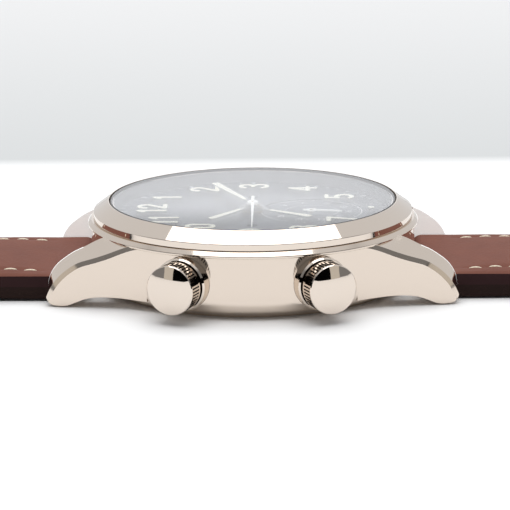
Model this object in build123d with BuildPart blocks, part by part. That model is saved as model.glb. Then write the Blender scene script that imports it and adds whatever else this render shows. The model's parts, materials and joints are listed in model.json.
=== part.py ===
from build123d import *
from math import atan2, cos, degrees, hypot, pi, radians, sin, sqrt
import os

# Pilot watch with two time zones, lying face up on its case back.
# Millimetres. Origin at the centre of the case back on its flat rest face.
# +Z up through the crystal, +Y towards 12 o'clock, +X towards the crown at 3 o'clock.

# Clearances shared by all pieces
seat_gap = 0.02
running_gap = 0.04
end_gap = 0.1
layer_gap = 0.12
cut_overrun = 1.0

# Heights through the case, from the rest face upwards
back_glass_thickness = 1.3
back_web_thickness = 0.4
rotor_gap = 0.15
rotor_thickness = 0.7
bridge_gap = 0.2
bridge_thickness = 0.9
train_space = 1.65
plate_thickness = 1.55
dial_space = 0.5
dial_thickness = 0.4
hand_space = 1.55
crystal_thickness = 1.5
stem_height_share = 0.485

back_web_bottom = back_glass_thickness
back_web_top = back_web_bottom + back_web_thickness
rotor_bottom = back_web_top + rotor_gap
rotor_top = rotor_bottom + rotor_thickness
bridge_bottom = rotor_top + bridge_gap
bridge_top = bridge_bottom + bridge_thickness
plate_bottom = bridge_top + train_space
plate_top = plate_bottom + plate_thickness
dial_bottom = plate_top + dial_space
dial_top = dial_bottom + dial_thickness
crystal_bottom = dial_top + hand_space
crystal_top = crystal_bottom + crystal_thickness
stem_z = bridge_top + stem_height_share * train_space

# Case middle
case_radius = 20.6
case_wall = 2.9
case_bottom = 0.5
case_foot_inset = 1.7
case_bevel_height = 1.65
case_bevel_bulge_share = 0.22
flange_overhang = 0.4
flange_height = 0.78
flange_bevel_width = 0.42
flange_bevel_height = 0.48
flange_edge_radius = 0.12
neck_wall = 1.5

case_bore_radius = case_radius - case_wall

# Lugs, with their side outline as shares of the reach and of the flange's height
lug_gap = 21.0
lug_overhang = 3.4
lug_root_width = 4.2
lug_root_length = 10.5
lug_root_depth = 2.25
lug_taper_share = 0.17
lug_blend_radius = 8.0
lug_edge_drop = 0.5
lug_edge_inset = 0.2
lug_inner_top_shares = [
    (0.471, 0.988), (0.608, 0.983), (0.682, 0.977), (0.737, 0.936), (0.820, 0.814), (0.863, 0.756),
    (0.906, 0.674), (0.941, 0.593), (0.967, 0.505), (0.986, 0.400), (0.996, 0.267), (1.0, 0.140),
]
lug_outer_top_shares = [
    (0.471, 0.965), (0.608, 0.870), (0.682, 0.715), (0.737, 0.647), (0.820, 0.565), (0.863, 0.469),
    (0.906, 0.345), (0.941, 0.262), (0.967, 0.212), (0.984, 0.178), (0.995, 0.155), (1.0, 0.140),
]
lug_bottom_shares = [
    (1.0, 0.140), (0.992, 0.081), (0.976, 0.041), (0.945, 0.023), (0.910, 0.023), (0.855, 0.081),
    (0.796, 0.145), (0.741, 0.169), (0.471, 0.169),
]

# Bezel, crystal and the ring round the dial
bezel_height = 2.2
bezel_inset = 0.32
bezel_band_height = 0.85
bezel_land = 0.1
bezel_foot_bevel = 0.1
bezel_edge_radius = 0.1
crystal_seat = 0.6
crystal_edge_bevel = 0.25
gasket_thickness = 0.1
rehaut_width = 0.5
rehaut_slope = 0.42
gasket_width = 0.4

# Dial, with its places and lengths as shares of its radius
subdial_radius_share = 0.381
subdial_place_share = -0.426
subdial_depth = 0.1
window_radius = 0.7
window_place_share = 0.46
numeral_height_share = 0.1875
numeral_stroke = 0.76
numeral_rim = 0.1
numeral_thickness = 0.4
numeral_circle_share = 0.733
lume_depth = 0.15
lume_raise = 0.04
digit_pitch_share = 0.74
marker_radius = 0.5
marker_circle_share = 0.858
dial_foot_radius = 0.4
dial_foot_circle_share = 0.83
dial_foot_angles = (62, 242)
dial_foot_depth = 0.9

# Case back
back_flange_width = 0.75
back_spigot_wall = 2.0
back_spigot_height = 1.2
back_ring_width = 4.6
back_glass_seat = 0.8
back_notch_count = 6
back_notch_radius = 0.9
back_notch_depth = 0.5
back_gasket_width = 0.3

# Movement plates, with places and rounds as shares of the movement's radius
holder_width = 2.2
pocket_gap = 0.5
plate_pocket_depth = 0.75
bridge_inset = 0.3
bridge_bevel = 0.1
bridge_split_share = 0.62
barrel_bridge_foot_share = -0.052
cock_nose_share = 0.084
cock_foot_share = 0.11
post_radius = 0.9
post_place_shares = {
    "train": [(0.671, 0.565), (0.671, -0.565), (0.077, -0.871), (-0.858, -0.142)],
    "barrel": [(-0.858, 0.129), (-0.052, 0.884)],
    "cock": [(-0.742, -0.452)],
}
screw_radius = 0.4
screw_head_radius = 0.75
screw_head_height = 0.3
screw_slot_width = 0.2
screw_slot_angle = 30
screw_bite = 0.7
jewel_radius = 0.75
jewel_thickness = 0.4
pivot_radius = 0.28
arbor_radius = 0.4
wheel_hub_radius = 0.8
escape_hub_radius = 0.6
wheel_thickness = 0.15
pinion_height = 0.35
tooth_depth_share = 0.75
pinion_depth_share = 0.35
pinion_most_teeth = 16
spoke_width_share = 0.16
mesh_gap = 0.05

# Going train: tip radii, places and spans as shares of the movement's radius, and tooth counts
barrel_share = 0.348
barrel_teeth = 72
barrel_drum_height = 0.95
barrel_wall = 0.3
barrel_core_radius = 1.2
barrel_place_shares = (-0.31, 0.529)
centre_pinion_share = 0.0645
centre_pinion_teeth = 12
centre_wheel_share = 0.245
centre_wheel_teeth = 60
centre_wheel_angle = -12.5
third_pinion_share = 0.045
third_pinion_teeth = 8
third_wheel_share = 0.219
third_wheel_teeth = 64
fourth_pinion_share = 0.0387
fourth_pinion_teeth = 8
fourth_wheel_share = 0.2065
fourth_wheel_teeth = 84
escape_pinion_share = 0.0323
escape_pinion_teeth = 7
escape_wheel_share = 0.148
escape_wheel_teeth = 20
escape_wheel_angle = -125.9
pallet_span_share = 0.205
pallet_angle = -116.1
pallet_arm_share = 0.103
pallet_arm_width = 0.35
pallet_arm_spread = 60
balance_span_share = 0.249
balance_angle = -121.2
balance_share = 0.2645
balance_rim_width = 0.5
balance_rim_height = 0.3
balance_cut_margin = 0.6
roller_share = 0.045
hairspring_share = 0.187
hairspring_turns = 8
hairspring_strip = 0.07
hairspring_height = 0.15
mainspring_turns = 6
mainspring_strip = 0.18

# Heights of the wheels as shares of the space between the bridges and the main plate
centre_wheel_level_share = 0.12
fourth_wheel_level_share = 0.30
third_wheel_level_share = 0.67
barrel_level_share = 0.30
barrel_teeth_level_share = 0.69
balance_level_share = 0.25
roller_level_share = 0.49
hairspring_level_share = 0.06

# Motion work under the dial
seconds_arbor_radius = 0.2
cannon_radius = 0.6
pipe_wall = 0.3
hub_rim = 0.35
cannon_wheel_radius = 1.5
cannon_wheel_teeth = 14
hour_wheel_share = 0.1935
hour_wheel_teeth = 48
hour_wheel_thickness = 0.18
date_wheel_share = 0.277
date_wheel_teeth = 31
disc_thickness = 0.2
night_disc_share = 0.1355
night_disc_place_share = 0.0774

# Hands: thickness, gap between layers, lengths as shares of the dial's radius, and the angles of
# the pose, clockwise from 12
hand_thickness = 0.15
hand_gap = 0.11
first_hand_gap = 0.35
hand_neck_width = 0.6
hand_inner_radius = 0.42
hand_tip_radius = 0.66
hand_window_rim = 0.17
hand_window_start = 2.7
minute_hand_share = 0.767
hour_hand_share = 0.523
seconds_hand_share = 0.773
seconds_tail_share = 0.182
seconds_hub_radius = 0.7
seconds_root_width = 0.42
seconds_tip_width = 0.12
date_hand_share = 0.582
date_hand_width = 0.5
date_tail_share = 0.164
minute_angle = 67.5
local_hour_angle = 305.5
home_hour_angle = 215.5
seconds_angle = 270
date_angle = 190

# Rotor
rotor_inset = 0.6
rotor_rim_width = 2.2
rotor_plate_thickness = 0.25
rotor_hub_radius = 2.9
rotor_bearing_radius = 1.3
rotor_slot_count = 3
rotor_slot_inset = 1.0
rotor_slot_width = 2.6

# Crown and winding stem
crown_radius = 3.2
crown_length = 3.3
crown_overhang = 3.8
crown_travel = 1.0
crown_chamber_radius = 2.1
crown_chamber_depth = 1.9
crown_flutes = 44
crown_skin = 0.5
flute_share = 0.55
crown_edge_bevel = 0.25
tube_radius = 1.5
stem_radius = 0.55
lever_room = 0.6
winding_pinion_radius = 0.74
winding_pinion_length = 1.3
stem_groove_radius = 0.36
stem_groove_width = 0.4
lever_thickness = 0.28
lever_length = 4.2
lever_height = 1.2
stem_block_length = 2.6
stem_block_width = 3.2

# Quarter-turn pushers on the 9 o'clock side
pusher_angle = 23.5
pusher_overhang = 4.05
pusher_travel = 0.45
press_gap = 0.05
pusher_cap_radius = 3.05
pusher_cap_length = 2.25
pusher_cap_dome = 0.4
cap_centre_share = 0.06
pusher_flutes = 48
cap_flute_share = 0.5
cap_flute_depth = 0.3
cap_front_rim = 0.2
cap_rear_rim = 0.3
pusher_edge_bevel = 0.1
collar_radius = 3.3
collar_seat_depth = 0.4
collar_edge_radius = 0.2
neck_sleeve_radius = 1.9
neck_sleeve_length = 0.8
spring_well_radius = 1.6
spring_well_depth = 0.45
cap_chamber_radius = 2.05
cap_roof = 0.7
pusher_stem_radius = 0.75
pusher_stem_gap = 0.8
pusher_stop_radius = 1.05
pusher_stop_width = 0.4
spring_coil_radius = 1.3
spring_wire_radius = 0.11
spring_turns = 5

# Spring bars and strap
spring_bar_radius = 0.9
spring_bar_gap = 0.15
spring_bar_z = 2.05
bar_tip_radius = 0.4
bar_tip_length = 0.7
strap_side_gap = 0.1
strap_loop_radius = 1.35
strap_top = 3.4
strap_upper_thickness = 1.6
strap_lug_bottom = 0.3
strap_shoulder_length = 2.5
strap_end_width = 18.0
short_strap_length = 75.0
short_strap_end_bottom = 1.15
long_strap_length = 115.0
long_strap_end_top = 2.2
strap_hole_radius = 0.9
strap_hole_count = 8
strap_hole_pitch = 6.5
strap_first_hole = 22.0

# Buckle and keepers
buckle_bar_radius = 0.75
buckle_bar_z = 2.2
buckle_loop_radius = 1.25
buckle_arm_width = 1.9
buckle_side_gap = 0.35
buckle_length = 13.2
buckle_back_overlap = 1.5
buckle_front_width = 2.0
buckle_thickness = 1.9
buckle_corner_radius = 2.2
buckle_edge_radius = 0.4
prong_width = 2.0
prong_slot_gap = 0.3
prong_thickness = 0.75
prong_rest_gap = 0.05
prong_overhang = 0.8
prong_loop_radius = 1.2
prong_slot_length = 7.0
buckle_skin = 0.5
keeper_length = 5.0
keeper_wall = 0.7
keeper_side_gap = 0.8
keeper_bottom = 0.05
keeper_head_room = 2.4
fixed_keeper_offset = 8.0
free_keeper_offset = 17.0

def offset_point(start, distance, angle):
    """The point at a distance and an angle in degrees from a start point."""
    return (
        start[0] + distance * cos(radians(angle)),
        start[1] + distance * sin(radians(angle)),
    )


def level(share):
    """A height in the space between the bridges and the main plate."""
    return bridge_top + share * train_space


# Case, bezel and lugs worked out from the sizes above
case_foot_radius = case_radius - case_foot_inset
flange_radius = case_radius + flange_overhang
flange_top = crystal_top - bezel_height
flange_bottom = flange_top - flange_height
neck_radius = case_bore_radius + neck_wall
neck_top = crystal_bottom - gasket_thickness
bezel_radius = case_radius - bezel_inset
crystal_radius = case_bore_radius + crystal_seat
spring_bar_y = case_radius + strap_loop_radius + spring_bar_gap
spring_bar_length = lug_gap - 2 * seat_gap
lug_reach = spring_bar_y + lug_overhang
lug_root_x = lug_gap / 2 + lug_root_width
lug_root_y = lug_reach - lug_root_length
lug_start = sqrt(case_bore_radius**2 - (lug_gap / 2) ** 2) - lug_root_depth
strap_width = lug_gap - 2 * strap_side_gap
strap_shoulder_y = spring_bar_y + strap_shoulder_length
back_flange_radius = case_bore_radius + back_flange_width
back_glass_radius = case_bore_radius - back_ring_width
back_window_radius = back_glass_radius - back_glass_seat

# Dial and hands
dial_radius = case_bore_radius - end_gap
subdial_radius = subdial_radius_share * dial_radius
subdial_y = subdial_place_share * dial_radius
window_x = window_place_share * dial_radius
numeral_height = numeral_height_share * dial_radius
numeral_circle = numeral_circle_share * dial_radius
marker_circle = marker_circle_share * dial_radius
dial_foot_circle = dial_foot_circle_share * dial_radius
minute_hand_length = minute_hand_share * dial_radius
hour_hand_length = hour_hand_share * dial_radius
seconds_hand_length = seconds_hand_share * dial_radius
seconds_tail_length = seconds_tail_share * dial_radius
date_hand_length = date_hand_share * subdial_radius
date_tail_length = date_tail_share * subdial_radius

# Movement: radii of the plates and wheels
movement_radius = case_bore_radius - holder_width
bridge_radius = movement_radius - bridge_inset
rotor_radius = bridge_radius - rotor_inset
barrel_bridge_foot = barrel_bridge_foot_share * movement_radius
cock_nose_radius = cock_nose_share * movement_radius
cock_foot_radius = cock_foot_share * movement_radius
barrel_radius = barrel_share * movement_radius
centre_pinion_radius = centre_pinion_share * movement_radius
centre_wheel_radius = centre_wheel_share * movement_radius
third_pinion_radius = third_pinion_share * movement_radius
third_wheel_radius = third_wheel_share * movement_radius
fourth_pinion_radius = fourth_pinion_share * movement_radius
fourth_wheel_radius = fourth_wheel_share * movement_radius
escape_pinion_radius = escape_pinion_share * movement_radius
escape_wheel_radius = escape_wheel_share * movement_radius
pallet_distance = pallet_span_share * movement_radius
pallet_arm_length = pallet_arm_share * movement_radius
balance_distance = balance_span_share * movement_radius
balance_radius = balance_share * movement_radius
roller_radius = roller_share * movement_radius
hairspring_radius = hairspring_share * movement_radius
hour_wheel_radius = hour_wheel_share * movement_radius
date_wheel_radius = date_wheel_share * movement_radius
night_disc_radius = night_disc_share * movement_radius
night_disc_y = night_disc_place_share * movement_radius
plate_pocket_radius = hour_wheel_radius + pocket_gap
local_pipe_bore = cannon_radius + running_gap
local_pipe_radius = local_pipe_bore + pipe_wall
home_pipe_bore = local_pipe_radius + running_gap
home_pipe_radius = home_pipe_bore + pipe_wall
dial_hole_radius = home_pipe_radius + layer_gap

# Places of the wheels, each pair of neighbours set apart by their tip radii
barrel_place = (barrel_place_shares[0] * movement_radius, barrel_place_shares[1] * movement_radius)
barrel_reach = barrel_radius + centre_pinion_radius + mesh_gap
centre_place = offset_point(barrel_place, barrel_reach, centre_wheel_angle)
third_from_middle = third_wheel_radius + fourth_pinion_radius + mesh_gap
third_from_centre = centre_wheel_radius + third_pinion_radius + mesh_gap
centre_distance = hypot(*centre_place)
third_along = (third_from_middle**2 - third_from_centre**2 + centre_distance**2) / (2 * centre_distance)
third_across = sqrt(third_from_middle**2 - third_along**2)
centre_unit = (centre_place[0] / centre_distance, centre_place[1] / centre_distance)
third_place = (
    third_along * centre_unit[0] + third_across * centre_unit[1],
    third_along * centre_unit[1] - third_across * centre_unit[0],
)
escape_reach = fourth_wheel_radius + escape_pinion_radius + mesh_gap
escape_place = offset_point((0, 0), escape_reach, escape_wheel_angle)
pallet_place = offset_point(escape_place, pallet_distance, pallet_angle)
balance_place = offset_point(pallet_place, balance_distance, balance_angle)
bridge_pivots = [centre_place, third_place, escape_place]
plate_pivots = [barrel_place, *bridge_pivots, pallet_place, balance_place]
post_places = {
    bridge: [(x * movement_radius, y * movement_radius) for x, y in shares]
    for bridge, shares in post_place_shares.items()
}
all_posts = [place for places in post_places.values() for place in places]

centre_wheel_z = level(centre_wheel_level_share)
fourth_wheel_z = level(fourth_wheel_level_share)
third_wheel_z = level(third_wheel_level_share)
barrel_z = level(barrel_level_share)
barrel_teeth_z = level(barrel_teeth_level_share)
balance_z = level(balance_level_share)
roller_z = level(roller_level_share)
hairspring_z = level(hairspring_level_share)
pivot_low = bridge_bottom + end_gap
pivot_high = plate_bottom + plate_thickness / 2

# Crown, pushers, strap ends and buckle
crown_reach = case_radius + crown_overhang
crown_inner = crown_reach - crown_length
crown_roof = crown_inner + crown_chamber_depth
crown_bore_end = crown_reach - crown_skin
stem_groove_x = bridge_radius - stem_block_length - crown_travel - lever_room - stem_groove_width
stem_inner_end = stem_groove_x - end_gap - winding_pinion_length
pusher_directions = (180 - pusher_angle, 180 + pusher_angle)
pusher_reach = case_radius + pusher_overhang
pusher_tube_start = case_bore_radius + end_gap
pusher_stem_inner = movement_radius + pusher_stem_gap
cap_inner = pusher_reach - pusher_cap_length
cap_ceiling = pusher_reach - cap_roof
collar_seat = case_radius - collar_seat_depth
collar_top = cap_inner - pusher_travel - press_gap
well_bottom = collar_top - spring_well_depth
short_end_y = spring_bar_y + short_strap_length
long_end_y = spring_bar_y + long_strap_length


os.makedirs("parts", exist_ok=True)


def keep(piece, name):
    """Labels a finished piece and writes its STEP file."""
    piece.label = name
    export_step(piece, f"parts/{name}.step")


def radial_plane(angle):
    """A plane whose x runs outwards from the case centre at stem height and whose y is up."""
    outwards = (cos(radians(angle)), sin(radians(angle)), 0)
    sideways = (sin(radians(angle)), -cos(radians(angle)), 0)
    return Plane(origin=(0, 0, stem_z), x_dir=outwards, z_dir=sideways)


def radial_axis(angle):
    """The axis that runs outwards from the case centre at stem height."""
    return Axis((0, 0, stem_z), (cos(radians(angle)), sin(radians(angle)), 0))


def facing_plane(angle, distance):
    """A plane square to that axis, at a distance from the case centre."""
    x, y = offset_point((0, 0), distance, angle)
    sideways = (-sin(radians(angle)), cos(radians(angle)), 0)
    return Plane(origin=(x, y, stem_z), x_dir=sideways, z_dir=(*offset_point((0, 0), 1, angle), 0))


def gear_face(tip_radius, teeth, spokes=0, hub=0):
    """A toothed disc centred on its own origin, crossed out to spokes where asked."""
    pitch = 2 * pi * tip_radius / teeth
    depth = pitch * (tooth_depth_share if teeth > pinion_most_teeth else pinion_depth_share)
    with BuildSketch() as face:
        Circle(tip_radius)
        with PolarLocations(tip_radius, teeth):
            Rectangle(2 * depth, pitch / 2, mode=Mode.SUBTRACT)
        if spokes:
            rim = tip_radius - 2 * depth
            Circle(rim, mode=Mode.SUBTRACT)
            Circle(hub)
            with PolarLocations(rim / 2, spokes):
                Rectangle(rim + depth, spoke_width_share * tip_radius)
    return face.sketch


def baton_face(length, hub, hole, pierced=True):
    """A baton hand that points along +Y from its hub, pierced along its blade."""
    tip_centre = length - hand_tip_radius
    rim = hand_window_rim
    with BuildSketch() as face:
        Circle(hub)
        with Locations((0, hand_window_start / 2)):
            Rectangle(hand_neck_width, hand_window_start)
        for inset, mode in ((0, Mode.ADD), (rim, Mode.SUBTRACT)):
            root = hand_inner_radius - inset
            tip = hand_tip_radius - inset
            Polygon(
                (-root, hand_window_start), (root, hand_window_start),
                (tip, tip_centre), (-tip, tip_centre), mode=mode,
            )
            with Locations((0, hand_window_start)):
                Circle(root, mode=mode)
            with Locations((0, tip_centre)):
                Circle(tip, mode=mode)
        Circle(hole, mode=Mode.SUBTRACT)
    return face.sketch


def spiral_points(inner, outer, turns, offset, steps=16):
    """Points along a flat spiral, set off from its middle line by half a strip."""
    count = turns * steps
    points = []
    for i in range(count + 1):
        angle = 2 * pi * i / steps
        radius = inner + (outer - inner) * i / count + offset
        points.append((radius * cos(angle), radius * sin(angle)))
    return points


# Lug: the side rises from its tip to the flange and its broad top falls outwards.
# In plan the outer side runs into the round case through one large blend arc.
lug_length = hypot(1, lug_taper_share)
lug_side_normal = (1 / lug_length, lug_taper_share / lug_length)
lug_side_offset = lug_side_normal[0] * lug_root_x + lug_side_normal[1] * lug_root_y
blend_normal = lug_side_offset + lug_blend_radius
blend_along = sqrt((case_radius + lug_blend_radius) ** 2 - blend_normal**2)
blend_centre = (
    lug_side_normal[0] * blend_normal - lug_side_normal[1] * blend_along,
    lug_side_normal[1] * blend_normal + lug_side_normal[0] * blend_along,
)
blend_share = case_radius / (case_radius + lug_blend_radius)
case_touch = (blend_centre[0] * blend_share, blend_centre[1] * blend_share)
side_touch = (
    blend_centre[0] - lug_side_normal[0] * lug_blend_radius,
    blend_centre[1] - lug_side_normal[1] * lug_blend_radius,
)
touch_sum = (
    case_touch[0] + side_touch[0] - 2 * blend_centre[0],
    case_touch[1] + side_touch[1] - 2 * blend_centre[1],
)
blend_middle = (
    blend_centre[0] + touch_sum[0] / hypot(*touch_sum) * lug_blend_radius,
    blend_centre[1] + touch_sum[1] / hypot(*touch_sum) * lug_blend_radius,
)
lug_end_y = lug_reach + cut_overrun
lug_end_x = side_touch[0] - lug_taper_share * (lug_end_y - side_touch[1])
lug_planes = (
    (lug_gap / 2, lug_inner_top_shares),
    (case_touch[0] + layer_gap, lug_outer_top_shares),
)

with BuildPart() as lug:
    for lug_x, top_shares in lug_planes:
        with BuildSketch(Plane.YZ.offset(lug_x)):
            with BuildLine():
                lug_top = Spline(*[(lug_reach * y, flange_top * z) for y, z in top_shares])
                lug_under = Spline(*[(lug_reach * y, flange_top * z) for y, z in lug_bottom_shares])
                Line(lug_under @ 1, lug_top @ 0)
            make_face()
    loft(ruled=True)
    with BuildSketch():
        with BuildLine():
            Line((lug_gap / 2, lug_start), case_touch)
            ThreePointArc(case_touch, blend_middle, side_touch)
            Polyline(
                side_touch, (lug_end_x, lug_end_y), (lug_gap / 2, lug_end_y), (lug_gap / 2, lug_start)
            )
        make_face()
    extrude(amount=flange_top + cut_overrun, mode=Mode.INTERSECT)
    lug_outer_edge = lug.faces().sort_by(Axis.Z)[-1].edges().sort_by(Axis.X)[-1]
    lug_blend_face = lug.faces().filter_by(GeomType.CYLINDER)[0]
    chamfer(lug_outer_edge, lug_edge_drop, lug_edge_inset, reference=lug_blend_face)

# Case middle: one turned and milled block with its flange, its neck and the four lugs
bevel_top = case_bottom + case_bevel_height
bevel_middle = (
    (case_foot_radius + case_radius) / 2 + case_bevel_bulge_share * (case_radius - case_foot_radius),
    case_bottom + (0.5 - case_bevel_bulge_share) * case_bevel_height,
)

with BuildPart() as case_middle:
    with BuildSketch(Plane.XZ):
        with BuildLine():
            Line((0, case_bottom), (case_foot_radius, case_bottom))
            ThreePointArc((case_foot_radius, case_bottom), bevel_middle, (case_radius, bevel_top))
            Polyline(
                (case_radius, bevel_top), (case_radius, flange_bottom),
                (flange_radius, flange_bottom), (flange_radius, flange_top - flange_bevel_height),
                (flange_radius - flange_bevel_width, flange_top),
                (neck_radius, flange_top), (neck_radius, neck_top), (0, neck_top), (0, case_bottom),
            )
        make_face()
    revolve(axis=Axis.Z)
    flange_edges = case_middle.edges().filter_by(GeomType.CIRCLE).filter_by(
        lambda edge: abs(edge.radius - flange_radius) < seat_gap
    )
    fillet(flange_edges, flange_edge_radius)
    add(lug.part)
    mirror(lug.part, about=Plane.YZ)
    mirror(lug.part, about=Plane.XZ)
    add(lug.part.rotate(Axis.Z, 180))
    with BuildSketch():
        Circle(case_bore_radius)
    extrude(amount=crystal_top, mode=Mode.SUBTRACT)
    with BuildSketch():
        Circle(back_flange_radius + seat_gap)
    extrude(amount=back_web_bottom, mode=Mode.SUBTRACT)
    with BuildSketch(Plane.YZ):
        with Locations((spring_bar_y, spring_bar_z), (-spring_bar_y, spring_bar_z)):
            Circle(bar_tip_radius + seat_gap)
    extrude(amount=lug_gap / 2 + bar_tip_length, both=True, mode=Mode.SUBTRACT)
    for direction in (0, *pusher_directions):
        with BuildSketch(facing_plane(direction, case_bore_radius - cut_overrun)):
            Circle(tube_radius + seat_gap)
        extrude(amount=case_radius - case_bore_radius + 2 * cut_overrun, mode=Mode.SUBTRACT)
    for direction in pusher_directions:
        with BuildSketch(facing_plane(direction, collar_seat)):
            Circle(collar_radius + seat_gap)
        extrude(amount=case_radius, mode=Mode.SUBTRACT)
keep(case_middle.part, "case_middle")

# Bezel: a polished ring pressed over the neck, with a band and a sloping top
with BuildPart() as bezel:
    with BuildSketch(Plane.XZ):
        Polygon(
            (neck_radius + seat_gap, flange_top),
            (bezel_radius - bezel_foot_bevel, flange_top),
            (bezel_radius, flange_top + bezel_foot_bevel),
            (bezel_radius, flange_top + bezel_band_height),
            (crystal_radius + bezel_land, crystal_top),
            (crystal_radius + seat_gap, crystal_top),
            (crystal_radius + seat_gap, neck_top + seat_gap),
            (neck_radius + seat_gap, neck_top + seat_gap),
        )
    revolve(axis=Axis.Z)
    band_edges = bezel.edges().filter_by(GeomType.CIRCLE).filter_by(
        lambda edge: abs(edge.radius - bezel_radius) < seat_gap
    )
    fillet(band_edges.sort_by(Axis.Z)[-1], bezel_edge_radius)
keep(bezel.part, "bezel")

with BuildPart() as crystal:
    with BuildSketch(Plane.XY.offset(crystal_bottom)):
        Circle(crystal_radius)
    extrude(amount=crystal_thickness)
    chamfer(crystal.faces().sort_by(Axis.Z)[-1].edges(), crystal_edge_bevel)
keep(crystal.part, "crystal")

with BuildPart() as crystal_gasket:
    with BuildSketch(Plane.XY.offset(neck_top)):
        Circle(crystal_radius)
        Circle(crystal_radius - gasket_width, mode=Mode.SUBTRACT)
    extrude(amount=gasket_thickness)
keep(crystal_gasket.part, "crystal_gasket")

# Sloping ring between the dial's rim and the crystal
rehaut_radius = case_bore_radius - seat_gap
with BuildPart() as dial_ring:
    with BuildSketch(Plane.XZ):
        Polygon(
            (rehaut_radius - rehaut_width, dial_top),
            (rehaut_radius, dial_top),
            (rehaut_radius, neck_top),
            (rehaut_radius - rehaut_width + rehaut_slope, neck_top),
        )
    revolve(axis=Axis.Z)
keep(dial_ring.part, "dial_ring")

# Dial with its feet, the sunk date subdial and the two day and night windows
dial_foot_places = [offset_point((0, 0), dial_foot_circle, angle) for angle in dial_foot_angles]
with BuildPart() as dial:
    with BuildSketch(Plane.XY.offset(dial_bottom)):
        Circle(dial_radius)
    extrude(amount=dial_thickness)
    with BuildSketch(Plane.XY.offset(dial_bottom)):
        with Locations(*dial_foot_places):
            Circle(dial_foot_radius)
    extrude(amount=-dial_foot_depth)
    with BuildSketch(Plane.XY.offset(dial_top)):
        with Locations((0, subdial_y)):
            Circle(subdial_radius)
    extrude(amount=-subdial_depth, mode=Mode.SUBTRACT)
    with BuildSketch(Plane.XY.offset(dial_top)):
        Circle(dial_hole_radius)
        with Locations((window_x, 0), (-window_x, 0)):
            Circle(window_radius)
        with Locations((0, subdial_y)):
            Circle(pivot_radius + running_gap)
    extrude(amount=-dial_thickness, mode=Mode.SUBTRACT)
keep(dial.part, "dial")

# Numerals as strokes in shares of their height: straight ones, arcs through three points, rounds
line_shares = {
    "1": [((-0.15, 0.30), (0.03, 0.5)), ((0.03, 0.5), (0.03, -0.5))],
    "2": [((0.24, 0.12), (-0.27, -0.5)), ((-0.27, -0.5), (0.28, -0.5))],
    "3": [],
    "4": [((0.12, -0.5), (0.12, 0.5)), ((0.12, 0.5), (-0.30, -0.2)), ((-0.30, -0.2), (0.32, -0.2))],
    "5": [((0.24, 0.5), (-0.2, 0.5)), ((-0.2, 0.5), (-0.23, 0.06))],
    "7": [((-0.27, 0.5), (0.27, 0.5)), ((0.27, 0.5), (-0.08, -0.5))],
    "8": [],
    "9": [],
    "0": [((-0.25, 0.22), (-0.25, -0.22)), ((0.25, 0.22), (0.25, -0.22))],
}
arc_shares = {
    "2": [((-0.27, 0.25), (0, 0.5), (0.24, 0.12))],
    "3": [((-0.25, 0.36), (0.25, 0.27), (-0.05, 0.02)), ((-0.05, 0.02), (0.27, -0.24), (-0.27, -0.36))],
    "5": [((-0.23, 0.06), (0.27, -0.17), (-0.26, -0.40))],
    "9": [((0.27, 0.24), (0.17, -0.26), (-0.2, -0.47))],
    "0": [((-0.25, 0.22), (0, 0.5), (0.25, 0.22)), ((-0.25, -0.22), (0, -0.5), (0.25, -0.22))],
}
round_shares = {
    "8": [((0, 0.26), 0.22), ((0, -0.25), 0.26)],
    "9": [((0, 0.24), 0.27)],
}
numeral_lines = []
numeral_arcs = []
numeral_rounds = []
for hour in (1, 2, 3, 4, 5, 7, 8, 9, 10, 11, 12):
    digits = str(hour)
    hour_x, hour_y = offset_point((0, 0), numeral_circle, 90 - 30 * hour)
    for i, digit in enumerate(digits):
        digit_x = hour_x + (i - (len(digits) - 1) / 2) * digit_pitch_share * numeral_height

        def place(share):
            return (digit_x + share[0] * numeral_height, hour_y + share[1] * numeral_height)

        for start, end in line_shares[digit]:
            numeral_lines.append((place(start), place(end)))
        for shares in arc_shares.get(digit, []):
            numeral_arcs.append(ThreePointArc(*[place(share) for share in shares]))
        for centre, radius_share in round_shares.get(digit, []):
            numeral_rounds.append((place(centre), radius_share * numeral_height))


def numeral_face(width):
    """All numerals drawn with a stroke of the given width, and the dot at 6."""
    with BuildSketch() as face:
        for (x0, y0), (x1, y1) in numeral_lines:
            with Locations(((x0 + x1) / 2, (y0 + y1) / 2)):
                turn = degrees(atan2(y1 - y0, x1 - x0))
                SlotCenterToCenter(hypot(x1 - x0, y1 - y0), width, rotation=turn)
        for arc in numeral_arcs:
            SlotArc(arc, width)
        for centre, radius in numeral_rounds:
            with Locations(centre):
                Circle(radius + width / 2)
                Circle(radius - width / 2, mode=Mode.SUBTRACT)
        with Locations((0, -marker_circle)):
            Circle(marker_radius - (numeral_stroke - width) / 2)
    return face.sketch


numeral_outline = numeral_face(numeral_stroke)
lume_well = numeral_face(numeral_stroke - 2 * numeral_rim)
lume_outline = numeral_face(numeral_stroke - 2 * (numeral_rim + seat_gap))
numeral_top = dial_top + numeral_thickness

with BuildPart() as hour_numerals:
    with BuildSketch(Plane.XY.offset(dial_top)):
        add(numeral_outline)
    extrude(amount=numeral_thickness)
    with BuildSketch(Plane.XY.offset(numeral_top)):
        add(lume_well)
    extrude(amount=-lume_depth, mode=Mode.SUBTRACT)
keep(hour_numerals.part, "hour_numerals")

with BuildPart() as numeral_lume:
    with BuildSketch(Plane.XY.offset(numeral_top - lume_depth)):
        add(lume_outline)
    extrude(amount=lume_depth + lume_raise)
keep(numeral_lume.part, "numeral_lume")

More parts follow.
